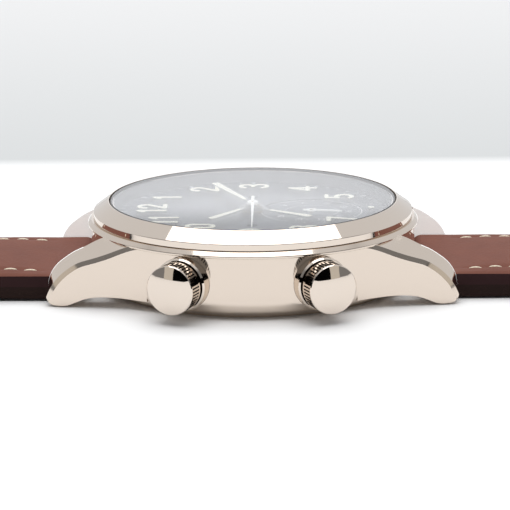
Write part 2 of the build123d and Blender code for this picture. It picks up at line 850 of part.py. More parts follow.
# Case back: a screwed ring, its sapphire flush in it, and the gasket in its groove
back_spigot_radius = case_bore_radius - running_gap
back_spigot_top = back_web_top + back_spigot_height
back_groove_radius = (back_flange_radius + case_bore_radius) / 2
with BuildPart() as caseback_ring:
    with BuildSketch(Plane.XZ):
        Polygon(
            (back_glass_radius + seat_gap, 0),
            (back_flange_radius, 0),
            (back_flange_radius, back_web_bottom),
            (back_spigot_radius, back_web_bottom),
            (back_spigot_radius, back_spigot_top),
            (back_spigot_radius - back_spigot_wall, back_spigot_top),
            (back_spigot_radius - back_spigot_wall, back_web_top),
            (back_window_radius, back_web_top),
            (back_window_radius, back_web_bottom),
            (back_glass_radius + seat_gap, back_web_bottom),
        )
    revolve(axis=Axis.Z)
    with BuildSketch():
        with PolarLocations((back_glass_radius + back_flange_radius) / 2, back_notch_count):
            Circle(back_notch_radius)
    extrude(amount=back_notch_depth, mode=Mode.SUBTRACT)
    with BuildSketch(Plane.XY.offset(back_web_bottom)):
        Circle(back_groove_radius + back_gasket_width / 2)
        Circle(back_groove_radius - back_gasket_width / 2, mode=Mode.SUBTRACT)
    extrude(amount=-back_gasket_width, mode=Mode.SUBTRACT)
keep(caseback_ring.part, "caseback_ring")

with BuildPart() as caseback_gasket:
    with BuildSketch(Plane.XY.offset(back_web_bottom)):
        Circle(back_groove_radius + back_gasket_width / 2 - seat_gap)
        Circle(back_groove_radius - back_gasket_width / 2 + seat_gap, mode=Mode.SUBTRACT)
    extrude(amount=-back_gasket_width)
keep(caseback_gasket.part, "caseback_gasket")

with BuildPart() as caseback_crystal:
    with BuildSketch():
        Circle(back_glass_radius)
    extrude(amount=back_glass_thickness)
keep(caseback_crystal.part, "caseback_crystal")

# Ring that holds the movement in the case, clear of the three stems
with BuildPart() as movement_holder:
    with BuildSketch(Plane.XY.offset(back_spigot_top)):
        Circle(case_bore_radius - running_gap)
        Circle(movement_radius + running_gap, mode=Mode.SUBTRACT)
    extrude(amount=dial_bottom - back_spigot_top)
    for direction in (0, *pusher_directions):
        with BuildSketch(facing_plane(direction, movement_radius - cut_overrun)):
            Circle(pusher_stop_radius + end_gap)
        extrude(amount=case_bore_radius, mode=Mode.SUBTRACT)
keep(movement_holder.part, "movement_holder")

# Main plate: carries the wheels on one side, the motion work in a pocket on the other
block_middle = bridge_radius - stem_block_length / 2
block_low = bridge_top + layer_gap
with BuildPart() as main_plate:
    with BuildSketch(Plane.XY.offset(plate_bottom)):
        Circle(movement_radius)
    extrude(amount=plate_thickness)
    with BuildSketch(Plane.XY.offset(block_low)):
        with Locations((block_middle, 0)):
            Rectangle(stem_block_length, stem_block_width)
    extrude(amount=plate_bottom - block_low)
    with BuildSketch(facing_plane(0, bridge_radius / 2)):
        Circle(stem_radius + running_gap)
    extrude(amount=bridge_radius, mode=Mode.SUBTRACT)
    with BuildSketch(Plane.XY.offset(plate_top)):
        Circle(plate_pocket_radius)
    extrude(amount=-plate_pocket_depth, mode=Mode.SUBTRACT)
    with BuildSketch(Plane.XY.offset(plate_bottom)):
        Circle(seconds_arbor_radius + running_gap)
    extrude(amount=plate_thickness, mode=Mode.SUBTRACT)
    with BuildSketch(Plane.XY.offset(plate_bottom)):
        with Locations(*plate_pivots):
            Circle(pivot_radius + running_gap)
        with Locations(*all_posts):
            Circle(screw_radius + seat_gap)
    extrude(amount=pivot_high - plate_bottom + end_gap, mode=Mode.SUBTRACT)
    with BuildSketch(Plane.XY.offset(plate_top)):
        with Locations((window_x, night_disc_y), (-window_x, night_disc_y), (0, subdial_y)):
            Circle(pivot_radius + running_gap)
        with Locations(*dial_foot_places):
            Circle(dial_foot_radius + running_gap)
    extrude(amount=-dial_foot_depth + dial_space - end_gap, mode=Mode.SUBTRACT)
keep(main_plate.part, "main_plate")

# Bridges on their posts: barrel bridge, train bridge and the balance cock
split_unit = (cos(radians(centre_wheel_angle)), sin(radians(centre_wheel_angle)))
split_start = offset_point(barrel_place, bridge_split_share * barrel_reach, centre_wheel_angle)


def barrel_region(grown):
    """Outline of the barrel bridge's side of the split, grown by a clearance."""
    foot_y = barrel_bridge_foot - grown
    points = []
    for y in (foot_y, 2 * bridge_radius):
        x = split_start[0] + grown - (y - split_start[1]) * split_unit[1] / split_unit[0]
        points.append((x, y))
    return [*points, (-2 * bridge_radius, 2 * bridge_radius), (-2 * bridge_radius, foot_y)]


def cock_face(grown):
    """Outline of the balance cock: two rounds and the web that joins them."""
    foot = post_places["cock"][0]
    span = hypot(foot[0] - balance_place[0], foot[1] - balance_place[1])
    turn = degrees(atan2(foot[1] - balance_place[1], foot[0] - balance_place[0]))
    with BuildSketch() as face:
        with Locations(balance_place):
            Circle(cock_nose_radius + grown)
        with Locations(foot):
            Circle(cock_foot_radius + grown)
        with Locations(((foot[0] + balance_place[0]) / 2, (foot[1] + balance_place[1]) / 2)):
            Rectangle(span, 2 * (cock_nose_radius + grown), rotation=turn)
    return face.sketch


barrel_outline = barrel_region(0)
train_cut = barrel_region(layer_gap)
cock_outline = cock_face(0)
cock_clearance = cock_face(layer_gap)
cock_foot = post_places["cock"][0]
cock_shadow = [
    balance_place, cock_foot, (2 * cock_foot[0], 2 * cock_foot[1]),
    (2 * balance_place[0], 2 * balance_place[1]),
]
bridge_holes = {"barrel": [barrel_place], "train": bridge_pivots, "cock": [balance_place]}

with BuildPart() as barrel_bridge:
    with BuildSketch(Plane.XY.offset(bridge_bottom)):
        Circle(bridge_radius)
        Polygon(*barrel_outline, mode=Mode.INTERSECT)
    extrude(amount=bridge_thickness)
    chamfer(barrel_bridge.faces().sort_by(Axis.Z)[0].edges(), bridge_bevel)
    with BuildSketch(Plane.XY.offset(bridge_top)):
        with Locations(*post_places["barrel"]):
            Circle(post_radius)
    extrude(amount=train_space)
    with Locations(Plane.XY.offset(bridge_bottom)):
        with Locations(*bridge_holes["barrel"]):
            Hole(arbor_radius + running_gap)
        with Locations(*post_places["barrel"]):
            Hole(screw_radius + seat_gap)
    with BuildSketch(Plane.XY.offset(bridge_bottom)):
        with Locations(*post_places["barrel"]):
            Circle(screw_head_radius + seat_gap)
    extrude(amount=screw_head_height, mode=Mode.SUBTRACT)
keep(barrel_bridge.part, "barrel_bridge")

with BuildPart() as train_bridge:
    with BuildSketch(Plane.XY.offset(bridge_bottom)):
        Circle(bridge_radius)
        Polygon(*train_cut, mode=Mode.SUBTRACT)
        with Locations(balance_place):
            Circle(balance_radius + balance_cut_margin, mode=Mode.SUBTRACT)
        add(cock_clearance, mode=Mode.SUBTRACT)
        Polygon(*cock_shadow, mode=Mode.SUBTRACT)
    extrude(amount=bridge_thickness)
    chamfer(train_bridge.faces().sort_by(Axis.Z)[0].edges(), bridge_bevel)
    with BuildSketch(Plane.XY.offset(bridge_top)):
        with Locations(*post_places["train"]):
            Circle(post_radius)
    extrude(amount=train_space)
    with BuildSketch(Plane.XY.offset(bridge_bottom)):
        with Locations(*bridge_holes["train"]):
            Circle(jewel_radius + seat_gap)
        with Locations((0, 0)):
            Circle(pivot_radius + running_gap)
        with Locations(*post_places["train"]):
            Circle(screw_radius + seat_gap)
    extrude(amount=bridge_thickness + train_space, mode=Mode.SUBTRACT)
    with BuildSketch(Plane.XY.offset(bridge_bottom)):
        with Locations(*post_places["train"]):
            Circle(screw_head_radius + seat_gap)
    extrude(amount=screw_head_height, mode=Mode.SUBTRACT)
keep(train_bridge.part, "train_bridge")

with BuildPart() as balance_cock:
    with BuildSketch(Plane.XY.offset(bridge_bottom)):
        add(cock_outline)
    extrude(amount=bridge_thickness)
    chamfer(balance_cock.faces().sort_by(Axis.Z)[0].edges(), bridge_bevel)
    with BuildSketch(Plane.XY.offset(bridge_top)):
        with Locations(*post_places["cock"]):
            Circle(cock_foot_radius)
    extrude(amount=train_space)
    with BuildSketch(Plane.XY.offset(bridge_bottom)):
        with Locations(balance_place):
            Circle(jewel_radius + seat_gap)
        with Locations(*post_places["cock"]):
            Circle(screw_radius + seat_gap)
    extrude(amount=bridge_thickness + train_space, mode=Mode.SUBTRACT)
    with BuildSketch(Plane.XY.offset(bridge_bottom)):
        with Locations(*post_places["cock"]):
            Circle(screw_head_radius + seat_gap)
    extrude(amount=screw_head_height, mode=Mode.SUBTRACT)
keep(balance_cock.part, "balance_cock")

with BuildPart() as bridge_screws:
    with BuildSketch(Plane.XY.offset(bridge_bottom)):
        with Locations(*all_posts):
            Circle(screw_head_radius)
    extrude(amount=screw_head_height)
    with BuildSketch(Plane.XY.offset(bridge_bottom)):
        with Locations(*all_posts):
            Circle(screw_radius)
    extrude(amount=bridge_thickness + train_space + screw_bite)
    with BuildSketch(Plane.XY.offset(bridge_bottom)):
        with Locations(*all_posts):
            Rectangle(2 * screw_head_radius, screw_slot_width, rotation=screw_slot_angle)
    extrude(amount=screw_head_height / 2, mode=Mode.SUBTRACT)
keep(bridge_screws.part, "bridge_screws")

with BuildPart() as jewels:
    with BuildSketch(Plane.XY.offset(bridge_bottom)):
        with Locations(*bridge_pivots, balance_place):
            Circle(jewel_radius)
            Circle(pivot_radius + running_gap, mode=Mode.SUBTRACT)
    extrude(amount=jewel_thickness)
keep(jewels.part, "jewels")

# Mainspring barrel with its arbor and the wound spring in its drum
barrel_floor = barrel_wall
barrel_gear = gear_face(barrel_radius, barrel_teeth)
drum_radius = barrel_radius - 2 * tooth_depth_share * pi * barrel_radius / barrel_teeth - barrel_wall / 2
with BuildPart() as mainspring_barrel:
    with BuildSketch(Plane.XY.offset(barrel_z)):
        with Locations(barrel_place):
            Circle(drum_radius)
    extrude(amount=barrel_drum_height)
    with BuildSketch(Plane.XY.offset(barrel_teeth_z)):
        with Locations(barrel_place):
            add(barrel_gear)
    extrude(amount=wheel_thickness)
    with BuildSketch(Plane.XY.offset(barrel_z + barrel_floor)):
        with Locations(barrel_place):
            Circle(drum_radius - barrel_wall)
    extrude(amount=barrel_drum_height, mode=Mode.SUBTRACT)
    with BuildSketch(Plane.XY.offset(pivot_low)):
        with Locations(barrel_place):
            Circle(arbor_radius)
    extrude(amount=barrel_z + barrel_floor - pivot_low)
    with BuildSketch(Plane.XY.offset(barrel_z)):
        with Locations(barrel_place):
            Circle(barrel_core_radius)
    extrude(amount=barrel_drum_height)
    with BuildSketch(Plane.XY.offset(barrel_z)):
        with Locations(barrel_place):
            Circle(pivot_radius)
    extrude(amount=pivot_high - barrel_z)
keep(mainspring_barrel.part, "mainspring_barrel")

spring_inner = barrel_core_radius + mainspring_strip
spring_outer = drum_radius - barrel_wall - mainspring_strip
with BuildPart() as mainspring:
    with BuildSketch(Plane((*barrel_place, barrel_z + barrel_floor + seat_gap))):
        with BuildLine():
            inside = Spline(*spiral_points(
                spring_inner, spring_outer, mainspring_turns, -mainspring_strip / 2
            ))
            outside = Spline(*spiral_points(
                spring_inner, spring_outer, mainspring_turns, mainspring_strip / 2
            ))
            Line(inside @ 0, outside @ 0)
            Line(inside @ 1, outside @ 1)
        make_face()
    extrude(amount=barrel_drum_height - barrel_floor - layer_gap)
keep(mainspring.part, "mainspring")


# Train wheels: a crossed-out wheel and a pinion on one arbor
def train_wheel(place, wheel, wheel_z, pinion, pinion_wheel_z, low, high):
    """A wheel face, a pinion face centred on its partner's height, and their arbor."""
    pinion_z = pinion_wheel_z + (wheel_thickness - pinion_height) / 2
    with BuildPart() as piece:
        with BuildSketch(Plane((*place, wheel_z))):
            add(wheel)
        extrude(amount=wheel_thickness)
        with BuildSketch(Plane((*place, pinion_z))):
            add(pinion)
        extrude(amount=pinion_height)
        with BuildSketch(Plane((*place, low))):
            Circle(pivot_radius)
        extrude(amount=high - low)
    return piece.part


centre_wheel = train_wheel(
    centre_place, gear_face(centre_wheel_radius, centre_wheel_teeth, 5, wheel_hub_radius), centre_wheel_z,
    gear_face(centre_pinion_radius, centre_pinion_teeth), barrel_teeth_z, pivot_low, pivot_high,
)
keep(centre_wheel, "centre_wheel")

third_wheel = train_wheel(
    third_place, gear_face(third_wheel_radius, third_wheel_teeth, 5, wheel_hub_radius), third_wheel_z,
    gear_face(third_pinion_radius, third_pinion_teeth), centre_wheel_z, pivot_low, pivot_high,
)
keep(third_wheel, "third_wheel")

escape_wheel = train_wheel(
    escape_place, gear_face(escape_wheel_radius, escape_wheel_teeth, 4, escape_hub_radius), third_wheel_z,
    gear_face(escape_pinion_radius, escape_pinion_teeth), fourth_wheel_z, pivot_low, pivot_high,
)
keep(escape_wheel, "escape_wheel")

# Stack of the hands, from the dial upwards
home_hand_z = dial_top + first_hand_gap
local_hand_z = home_hand_z + hand_thickness + hand_gap
minute_hand_z = local_hand_z + hand_thickness + hand_gap
seconds_hand_z = minute_hand_z + hand_thickness + hand_gap
seconds_top = seconds_hand_z + hand_thickness

fourth_gear = gear_face(fourth_wheel_radius, fourth_wheel_teeth, 4, wheel_hub_radius)
fourth_pinion = gear_face(fourth_pinion_radius, fourth_pinion_teeth)
with BuildPart() as fourth_wheel:
    with BuildSketch(Plane.XY.offset(fourth_wheel_z)):
        add(fourth_gear)
    extrude(amount=wheel_thickness)
    with BuildSketch(Plane.XY.offset(third_wheel_z + (wheel_thickness - pinion_height) / 2)):
        add(fourth_pinion)
    extrude(amount=pinion_height)
    with BuildSketch(Plane.XY.offset(pivot_low)):
        Circle(pivot_radius)
    extrude(amount=third_wheel_z - pivot_low)
    with BuildSketch(Plane.XY.offset(third_wheel_z)):
        Circle(seconds_arbor_radius)
    extrude(amount=seconds_top - third_wheel_z)
keep(fourth_wheel.part, "fourth_wheel")

# Pallet fork: two arms towards the escape wheel and a lever towards the balance
to_escape = pallet_angle + 180
pallet_z = third_wheel_z
lever_span = balance_distance - roller_radius - layer_gap
with BuildPart() as pallet_fork:
    with BuildSketch(Plane((*pallet_place, pallet_z))):
        Circle(arbor_radius + seat_gap)
        for turn, length in (
            (to_escape + pallet_arm_spread, pallet_arm_length),
            (to_escape - pallet_arm_spread, pallet_arm_length),
            (balance_angle, lever_span),
        ):
            with Locations(offset_point((0, 0), length / 2, turn)):
                Rectangle(length, pallet_arm_width, rotation=turn)
    extrude(amount=wheel_thickness)
    with BuildSketch(Plane((*pallet_place, roller_z))):
        Circle(pivot_radius)
    extrude(amount=pivot_high - roller_z)
keep(pallet_fork.part, "pallet_fork")

# Balance wheel with its staff and roller, and the hairspring round the staff
with BuildPart() as balance_wheel:
    with BuildSketch(Plane((*balance_place, balance_z))):
        Circle(balance_radius)
        Circle(balance_radius - balance_rim_width, mode=Mode.SUBTRACT)
        Rectangle(2 * balance_radius - balance_rim_width, balance_rim_width)
        Circle(roller_radius)
    extrude(amount=balance_rim_height)
    with BuildSketch(Plane((*balance_place, roller_z))):
        Circle(roller_radius)
    extrude(amount=wheel_thickness)
    with BuildSketch(Plane((*balance_place, pivot_low))):
        Circle(pivot_radius)
    extrude(amount=pivot_high - pivot_low)
keep(balance_wheel.part, "balance_wheel")

collet_radius = pivot_radius + running_gap + hairspring_strip
with BuildPart() as hairspring:
    with BuildSketch(Plane((*balance_place, hairspring_z))):
        with BuildLine():
            inner_edge = Spline(*spiral_points(
                collet_radius, hairspring_radius, hairspring_turns, -hairspring_strip / 2
            ))
            outer_edge = Spline(*spiral_points(
                collet_radius, hairspring_radius, hairspring_turns, hairspring_strip / 2
            ))
            Line(inner_edge @ 0, outer_edge @ 0)
            Line(inner_edge @ 1, outer_edge @ 1)
        make_face()
    extrude(amount=hairspring_height)
keep(hairspring.part, "hairspring")

# Motion work: cannon pinion inside the local hour wheel inside the home hour wheel
cannon_z = plate_top - plate_pocket_depth + running_gap
local_wheel_z = cannon_z + hour_wheel_thickness + end_gap
home_wheel_z = local_wheel_z + hour_wheel_thickness + end_gap
pipe_pieces = (
    ("cannon_pinion", cannon_z, gear_face(cannon_wheel_radius, cannon_wheel_teeth),
     seconds_arbor_radius + running_gap, cannon_radius, minute_hand_z + hand_thickness),
    ("local_hour_wheel", local_wheel_z, gear_face(hour_wheel_radius, hour_wheel_teeth),
     local_pipe_bore, local_pipe_radius, local_hand_z + hand_thickness),
    ("home_hour_wheel", home_wheel_z, gear_face(hour_wheel_radius, hour_wheel_teeth),
     home_pipe_bore, home_pipe_radius, home_hand_z + hand_thickness),
)
for name, wheel_z, wheel_face, pipe_bore, pipe_radius, pipe_top in pipe_pieces:
    with BuildPart() as pipe_piece:
        with BuildSketch(Plane.XY.offset(wheel_z)):
            add(wheel_face)
        extrude(amount=hour_wheel_thickness)
        with BuildSketch(Plane.XY.offset(wheel_z)):
            Circle(pipe_radius)
        extrude(amount=pipe_top - wheel_z)
        with BuildSketch(Plane.XY.offset(wheel_z)):
            Circle(pipe_bore)
        extrude(amount=pipe_top - wheel_z, mode=Mode.SUBTRACT)
    keep(pipe_piece.part, name)

# Hands, each turned clockwise from 12 to the pose of the photograph
hand_pieces = (
    ("home_hour_hand", home_hand_z, home_hour_angle, hour_hand_length, home_pipe_radius),
    ("local_hour_hand", local_hand_z, local_hour_angle, hour_hand_length, local_pipe_radius),
    ("minute_hand", minute_hand_z, minute_angle, minute_hand_length, cannon_radius),
)
for name, hand_z, angle, length, pipe_radius in hand_pieces:
    hand_face = baton_face(length, pipe_radius + hub_rim, pipe_radius + seat_gap)
    with BuildPart() as hand:
        with BuildSketch(Plane.XY.offset(hand_z).rotated((0, 0, -angle))):
            add(hand_face)
        extrude(amount=hand_thickness)
    keep(hand.part, name)

with BuildPart() as seconds_hand:
    with BuildSketch(Plane.XY.offset(seconds_hand_z).rotated((0, 0, -seconds_angle))):
        Polygon(
            (-seconds_root_width / 2, 0), (-seconds_root_width / 2, -seconds_tail_length),
            (seconds_root_width / 2, -seconds_tail_length), (seconds_root_width / 2, 0),
            (seconds_tip_width / 2, seconds_hand_length), (-seconds_tip_width / 2, seconds_hand_length),
        )
        Circle(seconds_hub_radius)
        Circle(seconds_arbor_radius + seat_gap, mode=Mode.SUBTRACT)
    extrude(amount=hand_thickness)
keep(seconds_hand.part, "seconds_hand")

# Date hand and its wheel under the dial
date_hand_z = dial_top - subdial_depth + layer_gap
date_wheel_z = plate_top + end_gap
with BuildPart() as date_hand:
    with BuildSketch(Plane((0, subdial_y, date_hand_z)).rotated((0, 0, -date_angle))):
        Polygon(
            (-date_hand_width / 2, -date_tail_length), (date_hand_width / 2, -date_tail_length),
            (date_hand_width / 2, date_hand_length - date_hand_width),
            (0, date_hand_length),
            (-date_hand_width / 2, date_hand_length - date_hand_width),
        )
        Circle(pivot_radius + hub_rim)
        Circle(pivot_radius + seat_gap, mode=Mode.SUBTRACT)
    extrude(amount=hand_thickness)
keep(date_hand.part, "date_hand")

date_gear = gear_face(date_wheel_radius, date_wheel_teeth)
with BuildPart() as date_wheel:
    with BuildSketch(Plane((0, subdial_y, date_wheel_z))):
        add(date_gear)
    extrude(amount=disc_thickness)
    with BuildSketch(Plane((0, subdial_y, plate_top - end_gap))):
        Circle(pivot_radius)
    extrude(amount=date_hand_z + hand_thickness - plate_top + end_gap)
keep(date_wheel.part, "date_wheel")

# Day and night discs behind the two small windows
for name, side in (("local_night_disc", -1), ("home_night_disc", 1)):
    with BuildPart() as night_disc:
        with BuildSketch(Plane((side * window_x, night_disc_y, date_wheel_z))):
            Circle(night_disc_radius)
        extrude(amount=disc_thickness)
        with BuildSketch(Plane((side * window_x, night_disc_y, plate_top - end_gap))):
            Circle(pivot_radius)
        extrude(amount=end_gap * 2)
    keep(night_disc.part, name)

# Winding rotor on its bearing, seen through the back
rotor_plate_z = rotor_top - rotor_plate_thickness
slot_outer = rotor_radius - rotor_rim_width - rotor_slot_inset
slot_inner = rotor_hub_radius + rotor_slot_inset
with BuildPart() as rotor:
    with BuildSketch(Plane.XY.offset(rotor_plate_z)):
        Circle(rotor_radius)
        with Locations((0, rotor_radius)):
            Rectangle(2 * rotor_radius, 2 * rotor_radius, mode=Mode.SUBTRACT)
        Circle(rotor_hub_radius)
        Circle(rotor_bearing_radius + running_gap, mode=Mode.SUBTRACT)
    extrude(amount=rotor_plate_thickness)
    with BuildSketch(Plane.XY.offset(rotor_bottom)):
        Circle(rotor_radius)
        Circle(rotor_radius - rotor_rim_width, mode=Mode.SUBTRACT)
        with Locations((0, rotor_radius)):
            Rectangle(2 * rotor_radius, 2 * rotor_radius, mode=Mode.SUBTRACT)
    extrude(amount=rotor_thickness)
    with BuildSketch(Plane.XY.offset(rotor_plate_z)):
        slot_middle = (slot_outer + slot_inner) / 2
        for i in range(rotor_slot_count):
            turn = -180 * (i + 0.5) / rotor_slot_count
            with Locations(offset_point((0, 0), slot_middle, turn)):
                SlotOverall(slot_outer - slot_inner, rotor_slot_width, rotation=turn)
    extrude(amount=rotor_plate_thickness, mode=Mode.SUBTRACT)
keep(rotor.part, "rotor")

with BuildPart() as rotor_bearing:
    with BuildSketch(Plane.XZ):
        Polygon(
            (0, rotor_bottom), (rotor_bearing_radius + hub_rim, rotor_bottom),
            (rotor_bearing_radius + hub_rim, rotor_plate_z - end_gap),
            (rotor_bearing_radius, rotor_plate_z - end_gap),
            (rotor_bearing_radius, rotor_top + end_gap),
            (rotor_bearing_radius + hub_rim, rotor_top + end_gap),
            (rotor_bearing_radius + hub_rim, bridge_bottom), (0, bridge_bottom),
        )
    revolve(axis=Axis.Z)
keep(rotor_bearing.part, "rotor_bearing")

# Crown, winding stem and the lever that sets its place
with BuildPart() as crown:
    with BuildSketch(radial_plane(0)):
        Polygon(
            (crown_inner, crown_chamber_radius),
            (crown_inner, crown_radius - crown_edge_bevel),
            (crown_inner + crown_edge_bevel, crown_radius),
            (crown_reach - crown_edge_bevel, crown_radius),
            (crown_reach, crown_radius - crown_edge_bevel),
            (crown_reach, 0), (crown_bore_end, 0), (crown_bore_end, stem_radius + seat_gap),
            (crown_roof, stem_radius + seat_gap), (crown_roof, crown_chamber_radius),
        )
    revolve(axis=radial_axis(0))
    flute_radius = flute_share * pi * crown_radius / crown_flutes
    with BuildSketch(facing_plane(0, crown_inner)):
        with PolarLocations(crown_radius, crown_flutes):
            Circle(flute_radius)
    extrude(amount=crown_length, mode=Mode.SUBTRACT)
keep(crown.part, "crown")

with BuildPart() as winding_stem:
    with BuildSketch(radial_plane(0)):
        Polygon(
            (stem_inner_end, 0), (stem_inner_end, winding_pinion_radius),
            (stem_inner_end + winding_pinion_length, winding_pinion_radius),
            (stem_inner_end + winding_pinion_length, stem_radius), (stem_groove_x, stem_radius),
            (stem_groove_x, stem_groove_radius), (stem_groove_x + stem_groove_width, stem_groove_radius),
            (stem_groove_x + stem_groove_width, stem_radius),
            (crown_bore_end - seat_gap, stem_radius), (crown_bore_end - seat_gap, 0),
        )
    revolve(axis=radial_axis(0))
keep(winding_stem.part, "winding_stem")

lever_x = stem_groove_x + (stem_groove_width - lever_thickness) / 2
lever_slot = stem_groove_radius + running_gap
with BuildPart() as setting_lever:
    with BuildSketch(Plane.YZ.offset(lever_x)):
        with Locations((lever_length / 2 - lever_height / 2, stem_z)):
            Rectangle(lever_length, lever_height)
        with Locations((-lever_height, stem_z)):
            Rectangle(2 * lever_height, 2 * lever_slot, mode=Mode.SUBTRACT)
        with Locations((0, stem_z)):
            Circle(lever_slot, mode=Mode.SUBTRACT)
    extrude(amount=lever_thickness)
keep(setting_lever.part, "setting_lever")

# Tubes pressed into the case wall for the winding stem and the two pushers
tube_pieces = []
with BuildPart() as crown_tube:
    with BuildSketch(radial_plane(0)):
        Polygon(
            (pusher_tube_start, stem_radius + running_gap), (pusher_tube_start, tube_radius),
            (crown_roof - layer_gap, tube_radius), (crown_roof - layer_gap, stem_radius + running_gap),
        )
    revolve(axis=radial_axis(0))
tube_pieces.append(crown_tube.part)
sleeve_end = collar_top + neck_sleeve_length
for direction in pusher_directions:
    with BuildPart() as pusher_tube:
        with BuildSketch(radial_plane(direction)):
            Polygon(
                (pusher_tube_start, pusher_stem_radius + running_gap), (pusher_tube_start, tube_radius),
                (collar_seat, tube_radius), (collar_seat, collar_radius),
                (collar_top - collar_edge_radius, collar_radius),
                (collar_top, collar_radius - collar_edge_radius), (collar_top, neck_sleeve_radius),
                (sleeve_end, neck_sleeve_radius), (sleeve_end, spring_well_radius),
                (well_bottom, spring_well_radius), (well_bottom, pusher_stem_radius + running_gap),
            )
        revolve(axis=radial_axis(direction))
    tube_pieces.append(pusher_tube.part)
with BuildPart() as case_tubes:
    add(tube_pieces)
keep(case_tubes.part, "case_tubes")

# Pushers: a fluted cap turns a quarter on a stem that slides through its tube on a spring
stem_tip = pusher_reach - cap_roof / 2
cap_flute_width = cap_flute_share * 2 * pi * pusher_cap_radius / pusher_flutes
dome_rim = pusher_cap_radius - pusher_edge_bevel
dome_top = pusher_reach + pusher_cap_dome
dome_radius = (dome_rim**2 + pusher_cap_dome**2) / (2 * pusher_cap_dome)
dome_middle = (dome_top - dome_radius + sqrt(dome_radius**2 - (dome_rim / 2) ** 2), dome_rim / 2)
dome_centre = cap_centre_share * dome_rim
dome_flat = dome_top - dome_radius + sqrt(dome_radius**2 - dome_centre**2)
stop_end = pusher_tube_start - end_gap
spring_length = cap_ceiling - well_bottom - 2 * (spring_wire_radius + seat_gap)
for name, direction in zip(("upper", "lower"), pusher_directions):
    with BuildPart() as pusher_cap:
        with BuildSketch(radial_plane(direction)):
            with BuildLine():
                ThreePointArc((pusher_reach, dome_rim), dome_middle, (dome_flat, dome_centre))
                Polyline(
                    (dome_flat, dome_centre), (dome_flat, 0), (stem_tip + seat_gap, 0),
                    (stem_tip + seat_gap, pusher_stem_radius + running_gap),
                    (cap_ceiling, pusher_stem_radius + running_gap), (cap_ceiling, cap_chamber_radius),
                    (cap_inner, cap_chamber_radius), (cap_inner, pusher_cap_radius),
                    (pusher_reach - pusher_edge_bevel, pusher_cap_radius), (pusher_reach, dome_rim),
                )
            make_face()
        revolve(axis=radial_axis(direction))
        with BuildSketch(facing_plane(direction, cap_inner + cap_rear_rim)):
            with PolarLocations(pusher_cap_radius, pusher_flutes):
                Rectangle(2 * cap_flute_depth, cap_flute_width)
        extrude(amount=pusher_cap_length - cap_front_rim - cap_rear_rim, mode=Mode.SUBTRACT)
    keep(pusher_cap.part, f"{name}_pusher_cap")
    with BuildPart() as pusher_stem:
        with BuildSketch(radial_plane(direction)):
            Polygon(
                (pusher_stem_inner, 0), (pusher_stem_inner, pusher_stem_radius),
                (stop_end - pusher_stop_width, pusher_stem_radius),
                (stop_end - pusher_stop_width, pusher_stop_radius), (stop_end, pusher_stop_radius),
                (stop_end, pusher_stem_radius), (stem_tip, pusher_stem_radius), (stem_tip, 0),
            )
        revolve(axis=radial_axis(direction))
    keep(pusher_stem.part, f"{name}_pusher_stem")
    outwards = (cos(radians(direction)), sin(radians(direction)), 0)
    spring_start = offset_point((0, 0), well_bottom + spring_wire_radius + seat_gap, direction)
    with BuildPart() as pusher_spring:
        with BuildLine():
            coil = Helix(
                spring_length / spring_turns, spring_length, spring_coil_radius,
                center=(*spring_start, stem_z), direction=outwards,
            )
        with BuildSketch(Plane(origin=coil @ 0, z_dir=coil % 0)):
            Circle(spring_wire_radius)
        sweep()
    keep(pusher_spring.part, f"{name}_pusher_spring")

# Spring bars between the lugs
with BuildPart() as spring_bars:
    with BuildSketch(Plane.YZ):
        with Locations((spring_bar_y, spring_bar_z), (-spring_bar_y, spring_bar_z)):
            Circle(spring_bar_radius)
    extrude(amount=spring_bar_length / 2, both=True)
    with BuildSketch(Plane.YZ):
        with Locations((spring_bar_y, spring_bar_z), (-spring_bar_y, spring_bar_z)):
            Circle(bar_tip_radius)
    extrude(amount=spring_bar_length / 2 + bar_tip_length - seat_gap, both=True)
keep(spring_bars.part, "spring_bars")

# Strap: two leather pieces, each an upper with its end loop and a lining sewn under it
strap_seam = strap_top - strap_upper_thickness
lining_start_y = spring_bar_y + strap_loop_radius
loop_bottom = spring_bar_z - strap_loop_radius
lining_start_share = strap_loop_radius / strap_shoulder_length
lining_start_z = loop_bottom + lining_start_share * (strap_seam - loop_bottom)


def strap_plan(end_y, side, tip):
    """Plan of a strap piece that narrows to its end, round at the tip where asked."""
    straight_y = end_y - strap_end_width / 2 if tip else end_y
    with BuildSketch() as face:
        Polygon(
            (-strap_width / 2, side * case_bore_radius), (strap_width / 2, side * case_bore_radius),
            (strap_end_width / 2, side * straight_y), (-strap_end_width / 2, side * straight_y),
        )
        if tip:
            with Locations((0, side * straight_y)):
                Circle(strap_end_width / 2)
        else:
            with Locations((0, side * (end_y + buckle_loop_radius / 2))):
                Rectangle(strap_end_width, buckle_loop_radius * 2)
    return face.sketch


